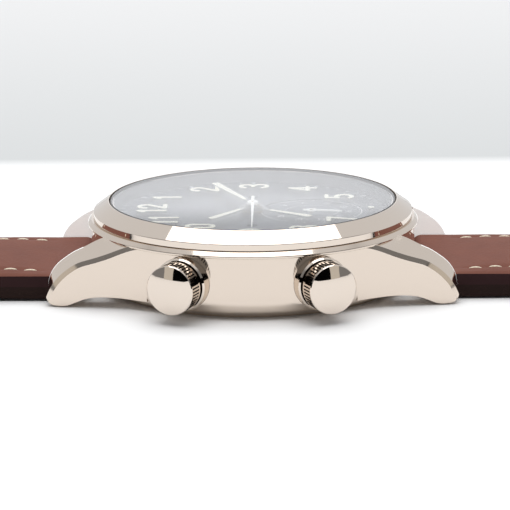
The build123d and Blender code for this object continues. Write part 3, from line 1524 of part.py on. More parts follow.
strap_hole_places = [
    (0, -(long_end_y - strap_first_hole - i * strap_hole_pitch)) for i in range(strap_hole_count)
]
strap_pieces = (
    ("short_strap", 1, short_end_y, strap_top, short_strap_end_bottom, False),
    ("long_strap", -1, long_end_y, long_strap_end_top, 0, True),
)
for name, side, end_y, end_top, end_bottom, tip in strap_pieces:
    plan = strap_plan(end_y, side, tip)
    end_seam = end_top - strap_upper_thickness * (end_top - end_bottom) / (strap_top - strap_lug_bottom)
    lining_end_y = end_y if tip else end_y - buckle_loop_radius
    lining_share = (lining_end_y - strap_shoulder_y) / (end_y - strap_shoulder_y)
    lining_end_seam = strap_seam + (end_seam - strap_seam) * lining_share
    with BuildPart() as upper:
        with BuildSketch(Plane.YZ):
            Polygon(
                (side * spring_bar_y, spring_bar_z + strap_loop_radius),
                (side * strap_shoulder_y, strap_top), (side * end_y, end_top),
                (side * end_y, end_seam), (side * strap_shoulder_y, strap_seam),
                (side * spring_bar_y, loop_bottom),
            )
            with Locations((side * spring_bar_y, spring_bar_z)):
                Circle(strap_loop_radius)
            if not tip:
                with Locations((end_y, buckle_bar_z)):
                    Circle(buckle_loop_radius)
                    Circle(buckle_bar_radius + running_gap, mode=Mode.SUBTRACT)
            with Locations((side * spring_bar_y, spring_bar_z)):
                Circle(spring_bar_radius + running_gap, mode=Mode.SUBTRACT)
        extrude(amount=strap_width / 2, both=True)
        with BuildSketch():
            add(plan)
        extrude(amount=crystal_top, mode=Mode.INTERSECT)
        with BuildSketch():
            if tip:
                with Locations(*strap_hole_places):
                    Circle(strap_hole_radius)
            else:
                with Locations((0, end_y)):
                    Rectangle(prong_width + 2 * prong_slot_gap, prong_slot_length)
        extrude(amount=crystal_top, mode=Mode.SUBTRACT)
    keep(upper.part, f"{name}_upper")
    with BuildPart() as lining:
        with BuildSketch(Plane.YZ):
            Polygon(
                (side * lining_start_y, lining_start_z),
                (side * strap_shoulder_y, strap_seam),
                (side * lining_end_y, lining_end_seam),
                (side * lining_end_y, end_bottom),
                (side * strap_shoulder_y, strap_lug_bottom),
            )
        extrude(amount=strap_width / 2, both=True)
        with BuildSketch():
            add(plan)
        extrude(amount=crystal_top, mode=Mode.INTERSECT)
        with BuildSketch():
            if tip:
                with Locations(*strap_hole_places):
                    Circle(strap_hole_radius)
            else:
                with Locations((0, end_y)):
                    Rectangle(prong_width + 2 * prong_slot_gap, prong_slot_length)
        extrude(amount=crystal_top, mode=Mode.SUBTRACT)
    keep(lining.part, f"{name}_lining")

# Pin buckle: a frame on its bar, and the prong that rests on the frame's front
frame_inner_width = strap_end_width + 2 * buckle_side_gap
frame_width = frame_inner_width + 2 * buckle_arm_width
frame_back_y = short_end_y - buckle_back_overlap
frame_front_y = frame_back_y + buckle_length
frame_bottom = buckle_bar_z - buckle_thickness / 2
frame_top = buckle_bar_z + buckle_thickness / 2
inner_front_y = frame_front_y - buckle_front_width
with BuildPart() as buckle_frame:
    with BuildSketch(Plane.XY.offset(frame_bottom)):
        with Locations((0, (frame_back_y + frame_front_y) / 2)):
            RectangleRounded(frame_width, buckle_length, buckle_corner_radius)
        with Locations((0, inner_front_y - buckle_length)):
            Rectangle(frame_inner_width, 2 * buckle_length, mode=Mode.SUBTRACT)
    extrude(amount=buckle_thickness)
    fillet(buckle_frame.faces().sort_by(Axis.Z)[-1].edges(), buckle_edge_radius)
    with BuildSketch(Plane.YZ):
        with Locations((short_end_y, buckle_bar_z)):
            Circle(buckle_bar_radius + seat_gap)
    extrude(amount=frame_width / 2 - buckle_skin, both=True, mode=Mode.SUBTRACT)
keep(buckle_frame.part, "buckle_frame")

with BuildPart() as buckle_bar:
    with BuildSketch(Plane.YZ):
        with Locations((short_end_y, buckle_bar_z)):
            Circle(buckle_bar_radius)
    extrude(amount=frame_width / 2 - buckle_skin - seat_gap, both=True)
keep(buckle_bar.part, "buckle_bar")

prong_low = frame_top + prong_rest_gap
prong_end_y = frame_front_y + prong_overhang
with BuildPart() as buckle_prong:
    with BuildSketch(Plane.YZ):
        Polygon(
            (short_end_y, buckle_bar_z + prong_loop_radius), (inner_front_y, prong_low + prong_thickness),
            (prong_end_y, prong_low + prong_thickness / 2), (prong_end_y, prong_low),
            (inner_front_y - prong_thickness, prong_low),
            (short_end_y, buckle_bar_z),
        )
        with Locations((short_end_y, buckle_bar_z)):
            Circle(prong_loop_radius)
            Circle(buckle_bar_radius + running_gap, mode=Mode.SUBTRACT)
    extrude(amount=prong_width / 2, both=True)
keep(buckle_prong.part, "buckle_prong")

# Keepers: the fixed one is held at the buckle, the free one slides along the strap
keeper_floor = keeper_bottom + keeper_wall
keeper_roof = strap_top + keeper_head_room
keeper_width = strap_end_width + 2 * (keeper_side_gap + keeper_wall)
for name, offset in (("fixed_keeper", fixed_keeper_offset), ("free_keeper", free_keeper_offset)):
    keeper_y = short_end_y - offset
    with BuildPart() as keeper:
        with BuildSketch(Plane.XZ.offset(-keeper_y - keeper_length / 2)):
            with Locations((0, (keeper_bottom + keeper_roof + keeper_wall) / 2)):
                RectangleRounded(
                    keeper_width, keeper_roof + keeper_wall - keeper_bottom, keeper_wall
                )
            with Locations((0, (keeper_floor + keeper_roof) / 2)):
                Rectangle(keeper_width - 2 * keeper_wall, keeper_roof - keeper_floor, mode=Mode.SUBTRACT)
        extrude(amount=keeper_length)
    keep(keeper.part, name)
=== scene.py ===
import json
from math import cos, pi, radians, sin, sqrt

import bpy
from mathutils import Matrix, Vector


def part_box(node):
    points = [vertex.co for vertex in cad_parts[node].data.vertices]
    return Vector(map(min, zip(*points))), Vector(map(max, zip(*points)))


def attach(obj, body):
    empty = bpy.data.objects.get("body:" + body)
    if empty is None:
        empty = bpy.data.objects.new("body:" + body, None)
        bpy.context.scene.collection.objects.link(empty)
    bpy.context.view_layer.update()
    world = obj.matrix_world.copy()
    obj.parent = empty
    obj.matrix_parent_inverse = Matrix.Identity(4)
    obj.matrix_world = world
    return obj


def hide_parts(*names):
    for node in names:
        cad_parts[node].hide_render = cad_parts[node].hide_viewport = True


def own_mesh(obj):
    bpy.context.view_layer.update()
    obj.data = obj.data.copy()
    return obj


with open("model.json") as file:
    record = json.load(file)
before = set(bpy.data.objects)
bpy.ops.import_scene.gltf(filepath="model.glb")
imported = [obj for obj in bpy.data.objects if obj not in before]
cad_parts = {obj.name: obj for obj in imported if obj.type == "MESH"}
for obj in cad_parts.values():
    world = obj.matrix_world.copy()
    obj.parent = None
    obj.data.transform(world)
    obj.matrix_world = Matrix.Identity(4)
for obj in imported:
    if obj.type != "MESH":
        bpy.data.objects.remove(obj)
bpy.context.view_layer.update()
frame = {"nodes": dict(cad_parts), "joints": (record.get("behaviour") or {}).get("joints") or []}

MM = 0.001

# Case back: a ring of polished 316L steel that screws into the case, turned, with six key notches.
# Its sapphire window is pressed in flush and shows the movement.
SRGB_KNEE = 0.04045
SRGB_SLOPE = 12.92
SRGB_OFFSET = 0.055
SRGB_POWER = 2.4


def linear(code):
    """Linear colour of an sRGB hex value."""
    colour = []
    for start in (0, 2, 4):
        share = int(code[start:start + 2], 16) / 255
        if share <= SRGB_KNEE:
            colour.append(share / SRGB_SLOPE)
        else:
            colour.append(((share + SRGB_OFFSET) / (1 + SRGB_OFFSET)) ** SRGB_POWER)
    return (*colour, 1)


def add_node(tree, kind, inputs=None, **settings):
    """Adds a shader node, sets it up, and links or sets its inputs."""
    node = tree.nodes.new(kind)
    for setting, value in settings.items():
        setattr(node, setting, value)
    for socket, value in (inputs or {}).items():
        if isinstance(value, bpy.types.NodeSocket):
            tree.links.new(value, node.inputs[socket])
        else:
            node.inputs[socket].default_value = value
    return node


def new_finish(name, inputs):
    """A material with its shader's sockets set, its node tree, its shader and Object coordinates."""
    material = bpy.data.materials.new(name)
    material.use_nodes = True
    tree = material.node_tree
    shader = tree.nodes["Principled BSDF"]
    for socket, value in inputs.items():
        shader.inputs[socket].default_value = value
    place = add_node(tree, "ShaderNodeTexCoord").outputs["Object"]
    return material, tree, shader, place


def vary(tree, factor, low, high):
    """A value that runs from low to high with the factor."""
    return add_node(
        tree, "ShaderNodeMapRange", {"Value": factor, "To Min": low, "To Max": high}
    ).outputs["Result"]


def mix_colours(tree, factor, low, high):
    """A colour that runs from one sRGB hex value to the other with the factor."""
    ends = {"Factor": factor, "A": linear(low), "B": linear(high)}
    return add_node(tree, "ShaderNodeMix", ends, data_type="RGBA").outputs["Result"]


def reckon(tree, operation, first, second):
    """Arithmetic on two values."""
    return add_node(tree, "ShaderNodeMath", {0: first, 1: second}, operation=operation).outputs["Value"]


def reckon_place(tree, operation, first, *second):
    """Vector arithmetic, with a vector or a value as its result."""
    inputs = dict(enumerate((first, *second)))
    node = add_node(tree, "ShaderNodeVectorMath", inputs, operation=operation)
    return node.outputs["Value" if operation in ("LENGTH", "DOT_PRODUCT") else "Vector"]


def add_noise(tree, place, grain, detail):
    """Noise whose grain has that size."""
    inputs = {"Vector": place, "Scale": 1 / grain, "Detail": detail}
    return add_node(tree, "ShaderNodeTexNoise", inputs).outputs["Fac"]


def add_relief(tree, shader, height, strength, depth):
    """Fine relief of that depth in the surface."""
    inputs = {"Height": height, "Strength": strength, "Distance": depth}
    tree.links.new(add_node(tree, "ShaderNodeBump", inputs).outputs["Normal"], shader.inputs["Normal"])


def give(material, *nodes):
    """Gives CAD nodes their real finish."""
    for node in nodes:
        frame["nodes"][node].material_slots[0].material = material


# Polished 316L: a warm mirror. Fine lapping haze breaks the reflections a little.
LAPPING = 0.5 * MM
case_steel, tree, shader, place = new_finish(
    "polished_316l_steel", {"Base Color": linear("DED2C5"), "Metallic": 1}
)
lapping = add_noise(tree, place, LAPPING, 4)
tree.links.new(vary(tree, lapping, 0.03, 0.075), shader.inputs["Roughness"])
give(case_steel, "caseback_ring", "case_tubes", "buckle_frame", "buckle_prong", "crown")

# Sapphire: clear, hard and very reflective at low angles, because its index is high. Its bevelled
# rim is tinted grey and made rougher.
RIM_START = 18.04 * MM
RIM_FULL = 18.1 * MM
sapphire, tree, shader, place = new_finish(
    "sapphire_crystal",
    {"Base Color": linear("FDFEFF"), "Transmission Weight": 1, "IOR": 1.77, "Roughness": 0},
)
from_axis = reckon_place(tree, "LENGTH", reckon_place(tree, "MULTIPLY", place, (1, 1, 0)))
rim = add_node(
    tree, "ShaderNodeMapRange", {"Value": from_axis, "From Min": RIM_START, "From Max": RIM_FULL}
).outputs["Result"]
tree.links.new(mix_colours(tree, rim, "FDFEFF", "9A8F8D"), shader.inputs["Base Color"])
tree.links.new(vary(tree, rim, 0, 0.3), shader.inputs["Roughness"])
give(sapphire, "caseback_crystal", "crystal")

# Nitrile rubber of the seals: near black and soft in its gloss.
rubber, tree, shader, place = new_finish(
    "nitrile_rubber", {"Base Color": linear("1C1B1B"), "Roughness": 0.6}
)
give(rubber, "caseback_gasket", "crystal_gasket")

# Movement plates: brass plates and bridges, rhodium plated. The bridges carry straight stripes cut
# by a slowly fed wheel, and the main plate is grained with overlapping spots.
STRIPE = 1.3 * MM
SPOT = 0.75 * MM
STRIPE_ANGLE = radians(35)
WAVES_PER_SCALE = 10
striped_rhodium, tree, shader, place = new_finish(
    "rhodium_striped", {"Base Color": linear("D3D1CB"), "Metallic": 1}
)
slant = add_node(tree, "ShaderNodeMapping", {"Vector": place, "Rotation": (0, 0, STRIPE_ANGLE)})
stripes = add_node(
    tree, "ShaderNodeTexWave",
    {"Vector": slant.outputs["Vector"], "Scale": pi / (WAVES_PER_SCALE * STRIPE)}, wave_profile="SAW",
).outputs["Fac"]
tree.links.new(vary(tree, stripes, 0.18, 0.42), shader.inputs["Roughness"])
add_relief(tree, shader, stripes, 0.35, 0.05 * MM)
give(striped_rhodium, "barrel_bridge", "train_bridge", "balance_cock")

spotted_rhodium, tree, shader, place = new_finish(
    "rhodium_spotted", {"Base Color": linear("CDCAC3"), "Metallic": 1}
)
spots = add_node(
    tree, "ShaderNodeTexVoronoi", {"Vector": place, "Scale": 1 / SPOT, "Randomness": 0.35}
).outputs["Distance"]
tree.links.new(vary(tree, spots, 0.15, 0.5), shader.inputs["Roughness"])
add_relief(tree, shader, spots, 0.3, 0.04 * MM)
give(spotted_rhodium, "main_plate")

# The holder ring is plain nickel-plated brass, turned.
nickel, tree, shader, place = new_finish(
    "nickel_plated_brass", {"Base Color": linear("BDB8AE"), "Metallic": 1, "Roughness": 0.3}
)
give(nickel, "movement_holder")

# Train and motion works: gilt brass wheels on steel arbors, cut, crossed out and plated.
gilt, tree, shader, place = new_finish(
    "gilt_brass", {"Base Color": linear("DDBB74"), "Metallic": 1, "Roughness": 0.22}
)
give(
    gilt, "balance_wheel", "centre_wheel", "third_wheel", "fourth_wheel", "mainspring_barrel",
    "date_wheel", "home_hour_wheel", "local_hour_wheel",
)

# Hardened steel parts: screws, levers, stems and pins, black polished.
tool_steel, tree, shader, place = new_finish(
    "hardened_steel", {"Base Color": linear("C4C3C2"), "Metallic": 1, "Roughness": 0.14}
)
give(
    tool_steel, "cannon_pinion", "escape_wheel", "pallet_fork", "rotor_bearing",
    "setting_lever", "spring_bars", "upper_pusher_stem", "lower_pusher_stem", "winding_stem", "buckle_bar",
)

# Screws: steel blued by heat.
blued_steel, tree, shader, place = new_finish(
    "blued_steel", {"Base Color": linear("27407F"), "Metallic": 1, "Roughness": 0.16}
)
give(blued_steel, "bridge_screws")

# Springs: cold rolled alloy, dull.
spring_alloy, tree, shader, place = new_finish(
    "spring_alloy", {"Base Color": linear("A9A39A"), "Metallic": 1, "Roughness": 0.3}
)
give(spring_alloy, "hairspring", "mainspring", "upper_pusher_spring", "lower_pusher_spring")

# Jewels: synthetic ruby, pink red and clear at the edge.
ruby, tree, shader, place = new_finish(
    "synthetic_ruby",
    {"Base Color": linear("C0123F"), "Roughness": 0.05, "IOR": 1.76, "Transmission Weight": 0.35},
)
give(ruby, "jewels")

# Rotor: heavy gold-plated alloy, striped like the bridges.
rotor_gold, tree, shader, place = new_finish(
    "gold_plated_rotor", {"Base Color": linear("D9B57E"), "Metallic": 1}
)
stripes = add_node(
    tree, "ShaderNodeTexWave", {"Vector": place, "Scale": pi / (WAVES_PER_SCALE * STRIPE)},
    wave_profile="SAW",
).outputs["Fac"]
tree.links.new(vary(tree, stripes, 0.16, 0.36), shader.inputs["Roughness"])
give(rotor_gold, "rotor")

# Dial: a brass disc brushed outwards from its centre and lacquered deep blue.
# The brushed rays show through the lacquer as a soft star of light.
RAY_COUNT = 260
dial_lacquer, tree, shader, place = new_finish(
    "blue_sunray_lacquer",
    {
        "Base Color": linear("1A2C49"), "Metallic": 0.55, "Roughness": 0.34,
        "Coat Weight": 0.7, "Coat Roughness": 0.06,
    },
)
turn = add_node(tree, "ShaderNodeTexGradient", {"Vector": place}, gradient_type="RADIAL")
rays = add_node(
    tree, "ShaderNodeTexNoise", {"W": turn.outputs["Fac"], "Scale": RAY_COUNT, "Detail": 3},
    noise_dimensions="1D",
)
tree.links.new(mix_colours(tree, rays.outputs["Fac"], "0F1D35", "27405F"), shader.inputs["Base Color"])
give(dial_lacquer, "dial")

# Sloping ring between dial and crystal: brass, lacquered the dial's dark blue, satin.
ring_lacquer, tree, shader, place = new_finish(
    "dark_satin_lacquer", {"Base Color": linear("1B2636"), "Metallic": 0.3, "Roughness": 0.35}
)
give(ring_lacquer, "dial_ring")

# Printing on the dial: one pad-printed film of white ink, a minute track with its long marks at the
# hours, two fine rings and marks round the date subdial, and its plain numbers.
dial_face_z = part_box("hour_numerals")[0].z
date_low, date_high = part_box("date_wheel")
SUBDIAL_Y = -7.498 * MM
subdial_place = ((date_low.x + date_high.x) / 2, SUBDIAL_Y, 0)
INK_LIFT = 0.012 * MM
TRACK_OUTER = 17.0 * MM
MINUTE_MARK = (0.13 * MM, 0.6 * MM)
HOUR_MARK = (0.26 * MM, 0.95 * MM)
SUBDIAL_DEPTH = 0.1 * MM
SUBDIAL_RINGS = (6.45 * MM, 3.45 * MM)
RING_LINE = 0.09 * MM
RING_SEGMENTS = 96
DATE_MARK = (0.09 * MM, 0.42 * MM)
DATE_COUNT = 31
DATE_NUMBERS = (4, 7, 10, 13, 16, 19, 22, 25, 28, 31)
DATE_NUMBER_HEIGHT = 1.25 * MM
DATE_NUMBER_CIRCLE = 4.75 * MM

# Painted light: the ink is given a faint glow, to keep the print bright under the crystal.
white_ink_painted_glow, tree, shader, place = new_finish(
    "white_pad_ink", {
        "Base Color": linear("E9EAEA"), "Roughness": 0.5,
        "Emission Color": linear("E9EAEA"), "Emission Strength": 0.12,
    }
)


def deselect_all():
    bpy.ops.object.select_all(action="DESELECT")


def settle(name):
    """Names the active new object and puts its place into its mesh."""
    piece = bpy.context.object
    piece.name = name
    piece.data.name = name
    bpy.ops.object.transform_apply(location=True, rotation=True, scale=True)
    return piece


def turned_copy(piece, centre, angle):
    """A copy with its own mesh, turned about the vertical line through the centre."""
    twin = piece.copy()
    twin.data = piece.data.copy()
    twin.data.transform(
        Matrix.Translation(centre) @ Matrix.Rotation(angle, 4, "Z") @ Matrix.Translation(-Vector(centre))
    )
    bpy.context.collection.objects.link(twin)
    return twin


def join(pieces, name):
    """Joins pieces of one make into one object."""
    deselect_all()
    for piece in pieces:
        piece.select_set(True)
    bpy.context.view_layer.objects.active = pieces[0]
    bpy.ops.object.join()
    joined = bpy.context.object
    joined.name = name
    joined.data.name = name
    return joined


def printed_mark(size, centre, outer, z):
    """A printed mark that points outwards along +Y, its outer end at that radius."""
    deselect_all()
    bpy.ops.mesh.primitive_plane_add(
        size=1, location=(centre[0], centre[1] + outer - size[1] / 2, z)
    )
    bpy.context.object.scale = (size[0], size[1], 1)
    return settle("mark")


def printed_ring(centre, radius, width, z):
    """A printed ring, as a narrow band between two circles."""
    deselect_all()
    bpy.ops.mesh.primitive_circle_add(
        vertices=RING_SEGMENTS, radius=radius, fill_type="NOTHING", location=(*centre[:2], z)
    )
    ring = settle("ring")
    bpy.ops.object.mode_set(mode="EDIT")
    bpy.ops.mesh.select_all(action="SELECT")
    bpy.ops.mesh.extrude_region_move()
    share = (radius - width) / radius
    bpy.ops.transform.resize(value=(share, share, 1), center_override=(*centre[:2], z))
    bpy.ops.mesh.select_all(action="SELECT")
    bpy.ops.mesh.normals_make_consistent(inside=False)
    bpy.ops.object.mode_set(mode="OBJECT")
    return ring


ink_z = dial_face_z + INK_LIFT
subdial_ink_z = ink_z - SUBDIAL_DEPTH
marks = []
minute_mark = printed_mark(MINUTE_MARK, (0, 0), TRACK_OUTER, ink_z)
hour_mark = printed_mark(HOUR_MARK, (0, 0), TRACK_OUTER, ink_z)
for minute in range(60):
    pattern = hour_mark if minute % 5 == 0 else minute_mark
    marks.append(turned_copy(pattern, (0, 0, 0), -2 * pi * minute / 60))
date_mark = printed_mark(DATE_MARK, subdial_place, SUBDIAL_RINGS[0], subdial_ink_z)
for day in range(DATE_COUNT):
    marks.append(turned_copy(date_mark, subdial_place, -2 * pi * day / DATE_COUNT))
for pattern in (minute_mark, hour_mark, date_mark):
    bpy.data.objects.remove(pattern)
for radius in SUBDIAL_RINGS:
    marks.append(printed_ring(subdial_place, radius, RING_LINE, subdial_ink_z))
for number in DATE_NUMBERS:
    angle = 2 * pi * number / DATE_COUNT
    deselect_all()
    bpy.ops.object.text_add(
        location=(
            subdial_place[0] + DATE_NUMBER_CIRCLE * sin(angle),
            subdial_place[1] + DATE_NUMBER_CIRCLE * cos(angle),
            subdial_ink_z,
        )
    )
    text = bpy.context.object
    text.data.body = str(number)
    text.data.size = DATE_NUMBER_HEIGHT
    text.data.align_x = "CENTER"
    text.data.align_y = "CENTER"
    text.data.resolution_u = 4
    bpy.ops.object.convert(target="MESH")
    marks.append(settle("date_number"))
dial_print = join(marks, "dial_print")
dial_print.data.materials.clear()
dial_print.data.materials.append(white_ink_painted_glow)
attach(dial_print, "case")

# Applied numerals: brass, cut, polished and nickel plated, filled with cream luminous paint that
# stands a little proud. The hands' windows are filled with the same paint.
applied_nickel, tree, shader, place = new_finish(
    "polished_nickel", {"Base Color": linear("DEDCD8"), "Metallic": 1, "Roughness": 0.12}
)
give(applied_nickel, "hour_numerals", "minute_hand", "home_hour_hand", "local_hour_hand")

# Luminous paint: a thick, chalky cream with a faint grain. Its glow is painted light, to keep it bright
# under the crystal.
LUME_GRAIN = 0.08 * MM
lume_painted_glow, tree, shader, place = new_finish(
    "luminous_paint", {
        "Base Color": linear("F6F4E4"), "Roughness": 0.7, "Emission Color": linear("F6F4E4"),
        "Emission Strength": 0.4,
    }
)
add_relief(tree, shader, add_noise(tree, place, LUME_GRAIN, 2), 0.15, 0.02 * MM)
give(lume_painted_glow, "numeral_lume")

# Lume in the hands: each strip fills its hand's window, narrow at the root and round at both ends.
# Each hand has its angle from 12 o'clock and its length.
HAND_WINDOW_START = 2.72 * MM
HAND_WINDOW_ROOT = 0.23 * MM
HAND_WINDOW_TIP = 0.47 * MM
HAND_TIP_RADIUS = 0.66 * MM
LUME_SINK = 0.03 * MM
LUME_PROUD = 0.02 * MM
HAND_LUME = (
    ("minute_hand", "minute", 67.5, 13.5 * MM),
    ("local_hour_hand", "local_hour", 305.5, 9.2 * MM),
    ("home_hour_hand", "home_hour", 215.5, 9.2 * MM),
)
for node, body, angle, length in HAND_LUME:
    low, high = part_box(node)
    bottom = low.z + LUME_SINK
    top = high.z + LUME_PROUD
    tip_y = length - HAND_TIP_RADIUS + HAND_WINDOW_TIP
    middle_y = (HAND_WINDOW_START + tip_y) / 2
    deselect_all()
    bpy.ops.mesh.primitive_cube_add(size=1, location=(0, middle_y, (bottom + top) / 2))
    bpy.context.object.scale = (2 * HAND_WINDOW_TIP, tip_y - HAND_WINDOW_START, top - bottom)
    strip = settle(f"{node}_lume")
    for vertex in strip.data.vertices:
        if vertex.co.y < middle_y:
            vertex.co.x *= HAND_WINDOW_ROOT / HAND_WINDOW_TIP
    for at_tip, width in ((True, HAND_WINDOW_TIP), (False, HAND_WINDOW_ROOT)):
        for edge in strip.data.edges:
            first, second = [strip.data.vertices[i].co for i in edge.vertices]
            upright = abs(first.x - second.x) < INK_LIFT and abs(first.y - second.y) < INK_LIFT
            edge.select = upright and (first.y > middle_y) == at_tip
        for part in (*strip.data.polygons, *strip.data.vertices):
            part.select = False
        bpy.ops.object.mode_set(mode="EDIT")
        bpy.ops.mesh.select_mode(type="EDGE")
        bpy.ops.mesh.bevel(offset=width, segments=6, clamp_overlap=True)
        bpy.ops.object.mode_set(mode="OBJECT")
    strip.data.transform(Matrix.Rotation(-radians(angle), 4, "Z"))
    strip.data.materials.append(lume_painted_glow)
    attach(strip, body)

# Seconds hand, date hand and night discs: thin brass and steel blanks, painted white.
# Painted light: the enamel is given a glow, to keep the hands bright under the crystal.
white_enamel_painted_glow, tree, shader, place = new_finish(
    "white_hand_enamel", {
        "Base Color": linear("F2F2EF"), "Roughness": 0.35, "Coat Weight": 0.3,
        "Emission Color": linear("F2F2EF"), "Emission Strength": 0.5,
    }
)
give(white_enamel_painted_glow, "seconds_hand", "date_hand")

# Night discs: one half painted white for day, the other dark blue for night.
night_paint, tree, shader, place = new_finish(
    "day_night_paint", {"Base Color": linear("F2F2EF"), "Roughness": 0.4}
)
disc_low, disc_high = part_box("home_night_disc")
along_y = add_node(tree, "ShaderNodeSeparateXYZ", {"Vector": place}).outputs["Y"]
night_half = reckon(tree, "GREATER_THAN", along_y, disc_low.y / 2 + disc_high.y / 2)
tree.links.new(mix_colours(tree, night_half, "F2F2EF", "14203A"), shader.inputs["Base Color"])
give(night_paint, "home_night_disc", "local_night_disc")

# Bezel: a turned and mirror-polished ring of the same steel, pressed over the case's neck.
mirror_steel, tree, shader, place = new_finish(
    "mirror_polished_steel", {"Base Color": linear("E0D4C8"), "Metallic": 1}
)
lapping = add_noise(tree, place, LAPPING, 4)
tree.links.new(vary(tree, lapping, 0.015, 0.045), shader.inputs["Roughness"])
give(mirror_steel, "bezel")

# Case middle with its lugs: one forging, machined and polished. Its flat lug faces and barrel keep
# a little more haze from the mop than the turned bezel. The lugs' faces towards the strap are
# blasted to a satin; their near-white colour and glow are painted light, as white as the table.
LUG_INNER_X = 10.62 * MM
LUG_INNER_Y = 20.9 * MM
mop_steel, tree, shader, place = new_finish(
    "mop_polished_steel", {"Base Color": linear("DDD0C3"), "Metallic": 1}
)
mop_haze = vary(tree, add_noise(tree, place, LAPPING, 4), 0.05, 0.1)
unsigned = reckon_place(tree, "ABSOLUTE", place)
sides = add_node(tree, "ShaderNodeSeparateXYZ", {"Vector": unsigned})
inside = reckon(tree, "LESS_THAN", sides.outputs["X"], LUG_INNER_X)
beyond = reckon(tree, "GREATER_THAN", sides.outputs["Y"], LUG_INNER_Y)
satin_painted_light = reckon(tree, "MULTIPLY", inside, beyond)
satin_or_polish = add_node(tree, "ShaderNodeMix", {"Factor": satin_painted_light, "A": mop_haze, "B": 0.6})
tree.links.new(satin_or_polish.outputs["Result"], shader.inputs["Roughness"])
# Painted highlight: the satin faces get a near-white colour, little metal and a glow.
tree.links.new(mix_colours(tree, satin_painted_light, "DDD0C3", "FBFAF8"), shader.inputs["Base Color"])
tree.links.new(vary(tree, satin_painted_light, 1, 0.15), shader.inputs["Metallic"])
shader.inputs["Emission Color"].default_value = linear("FBFAF8")
tree.links.new(vary(tree, satin_painted_light, 0, 0.4), shader.inputs["Emission Strength"])
give(mop_steel, "case_middle")

# Pusher caps: turned steel with milled flutes, lapped on the domed face. The flutes are rougher and
# are painted dark as painted shade, so they read as slots.
PUSHER_ANGLE = radians(23.5)
FLUTE_BOTTOM = 2.97 * MM
FLUTE_END = 24.5 * MM
cap_low, cap_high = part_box("upper_pusher_cap")
fluted_steel, tree, shader, place = new_finish(
    "fluted_polished_steel", {"Base Color": linear("E0D4C8"), "Metallic": 1}
)
cap_axis_foot = (0, 0, (cap_low.z + cap_high.z) / 2)
axis = (cos(PUSHER_ANGLE), sin(PUSHER_ANGLE), 0)
from_foot = reckon_place(tree, "SUBTRACT", reckon_place(tree, "ABSOLUTE", place), cap_axis_foot)
from_axis = reckon_place(tree, "LENGTH", reckon_place(tree, "CROSS_PRODUCT", from_foot, axis))
sunk = reckon(tree, "LESS_THAN", from_axis, FLUTE_BOTTOM)
behind_face = reckon(tree, "LESS_THAN", reckon_place(tree, "DOT_PRODUCT", from_foot, axis), FLUTE_END)
flute_painted_shade = reckon(tree, "MULTIPLY", sunk, behind_face)
# Painted shade: the flutes are coloured dark.
tree.links.new(mix_colours(tree, flute_painted_shade, "E0D4C8", "3A302B"), shader.inputs["Base Color"])
tree.links.new(vary(tree, flute_painted_shade, 0.03, 0.4), shader.inputs["Roughness"])
give(fluted_steel, "upper_pusher_cap", "lower_pusher_cap")

# Pusher springs: a few coils of spring wire in each tube, loose between the case and the cap.
WELD = 0.001 * MM
SOFT_ANGLE = radians(40)
for name, side in (("upper_pusher", 1), ("lower_pusher", -1)):
    node = frame["nodes"][f"{name}_spring"]
    deselect_all()
    bpy.ops.mesh.primitive_plane_add()
    coils = settle(f"{name}_spring_wire")
    coils.data = node.data.copy()
    coils.data.transform(node.matrix_world)
    bpy.ops.object.mode_set(mode="EDIT")
    bpy.ops.mesh.select_all(action="SELECT")
    bpy.ops.mesh.remove_doubles(threshold=WELD)
    bpy.ops.object.mode_set(mode="OBJECT")
    bpy.ops.object.shade_smooth_by_angle(angle=SOFT_ANGLE)
    coils.data.materials.clear()
    coils.data.materials.append(spring_alloy)
    middle = sum((vertex.co for vertex in coils.data.vertices), Vector()) / len(coils.data.vertices)
    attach(coils, "case")
    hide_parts(f"{name}_spring")
    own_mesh(coils)

# Strap: two layers of calf leather cut to shape, glued, edge painted and sewn with cream thread.
# It is folded round the spring bar between the lugs and round the buckle's bar.
fold = next(joint for joint in frame["joints"] if joint["name"] == "short_strap_fold")
SPRING_BAR = fold["pos_m"][1:]
SPRING_LOOP = 1.35 * MM
SHOULDER_LENGTH = 2.5 * MM
SHOULDER = SPRING_BAR[0] + SHOULDER_LENGTH
STRAP_TOP = SPRING_BAR[1] + SPRING_LOOP
UPPER_THICKNESS = 1.6 * MM
STRAP_SEAM = STRAP_TOP - UPPER_THICKNESS
STRAP_LUG_BOTTOM = 0.3 * MM
STRAP_HALF_WIDTH = 10.4 * MM
STRAP_END_HALF_WIDTH = 9.0 * MM
STRAP_NARROW_FROM = 17.7 * MM
BUCKLE_BAR = (97.1 * MM, 2.2 * MM)
BUCKLE_LOOP = 1.25 * MM
LONG_END = 137.1 * MM
LONG_END_TOP = 2.2 * MM
SHORT_END_BOTTOM = 1.15 * MM
ROW_STEP = 0.72 * MM
LOOP_ROWS = 7
TIP_ROWS = 20
TIP_FLAT = 0.02 * MM
PADDING = 0.5 * MM
PADDING_FADE = 7 * MM
EDGE_ROUND = 0.5 * MM
EDGE_DROP = 0.2 * MM
STITCH_INSET = 2.2 * MM
STITCH_PITCH = 2.48 * MM
STITCH_LENGTH = 1.7 * MM
STITCH_WIDTH = 0.46 * MM
STITCH_FIRST = 27.85 * MM
STITCH_FLATNESS = 0.6
STITCH_DIVE = 0.22
STITCH_LIFT = 0.06
STITCHLESS_PITCHES = 3
GROOVE_WIDTH = 0.5 * MM
GROOVE_DEPTH = 0.16 * MM
GROOVE_PULL = 0.07 * MM
HOLE_RADIUS = 0.9 * MM
HOLE_COUNT = 8
HOLE_PITCH = 6.5 * MM
HOLE_FIRST = 22.0 * MM
SLOT_SIZE = (2.5 * MM, 7.0 * MM)
CUTTER_HEIGHT = 20 * MM
COLUMN_SHARES = (0, 0.3, 0.55, 0.68, 0.73, 0.76, 0.785, 0.81, 0.84, 0.88, 0.93, 0.955, 0.975, 0.99, 1)

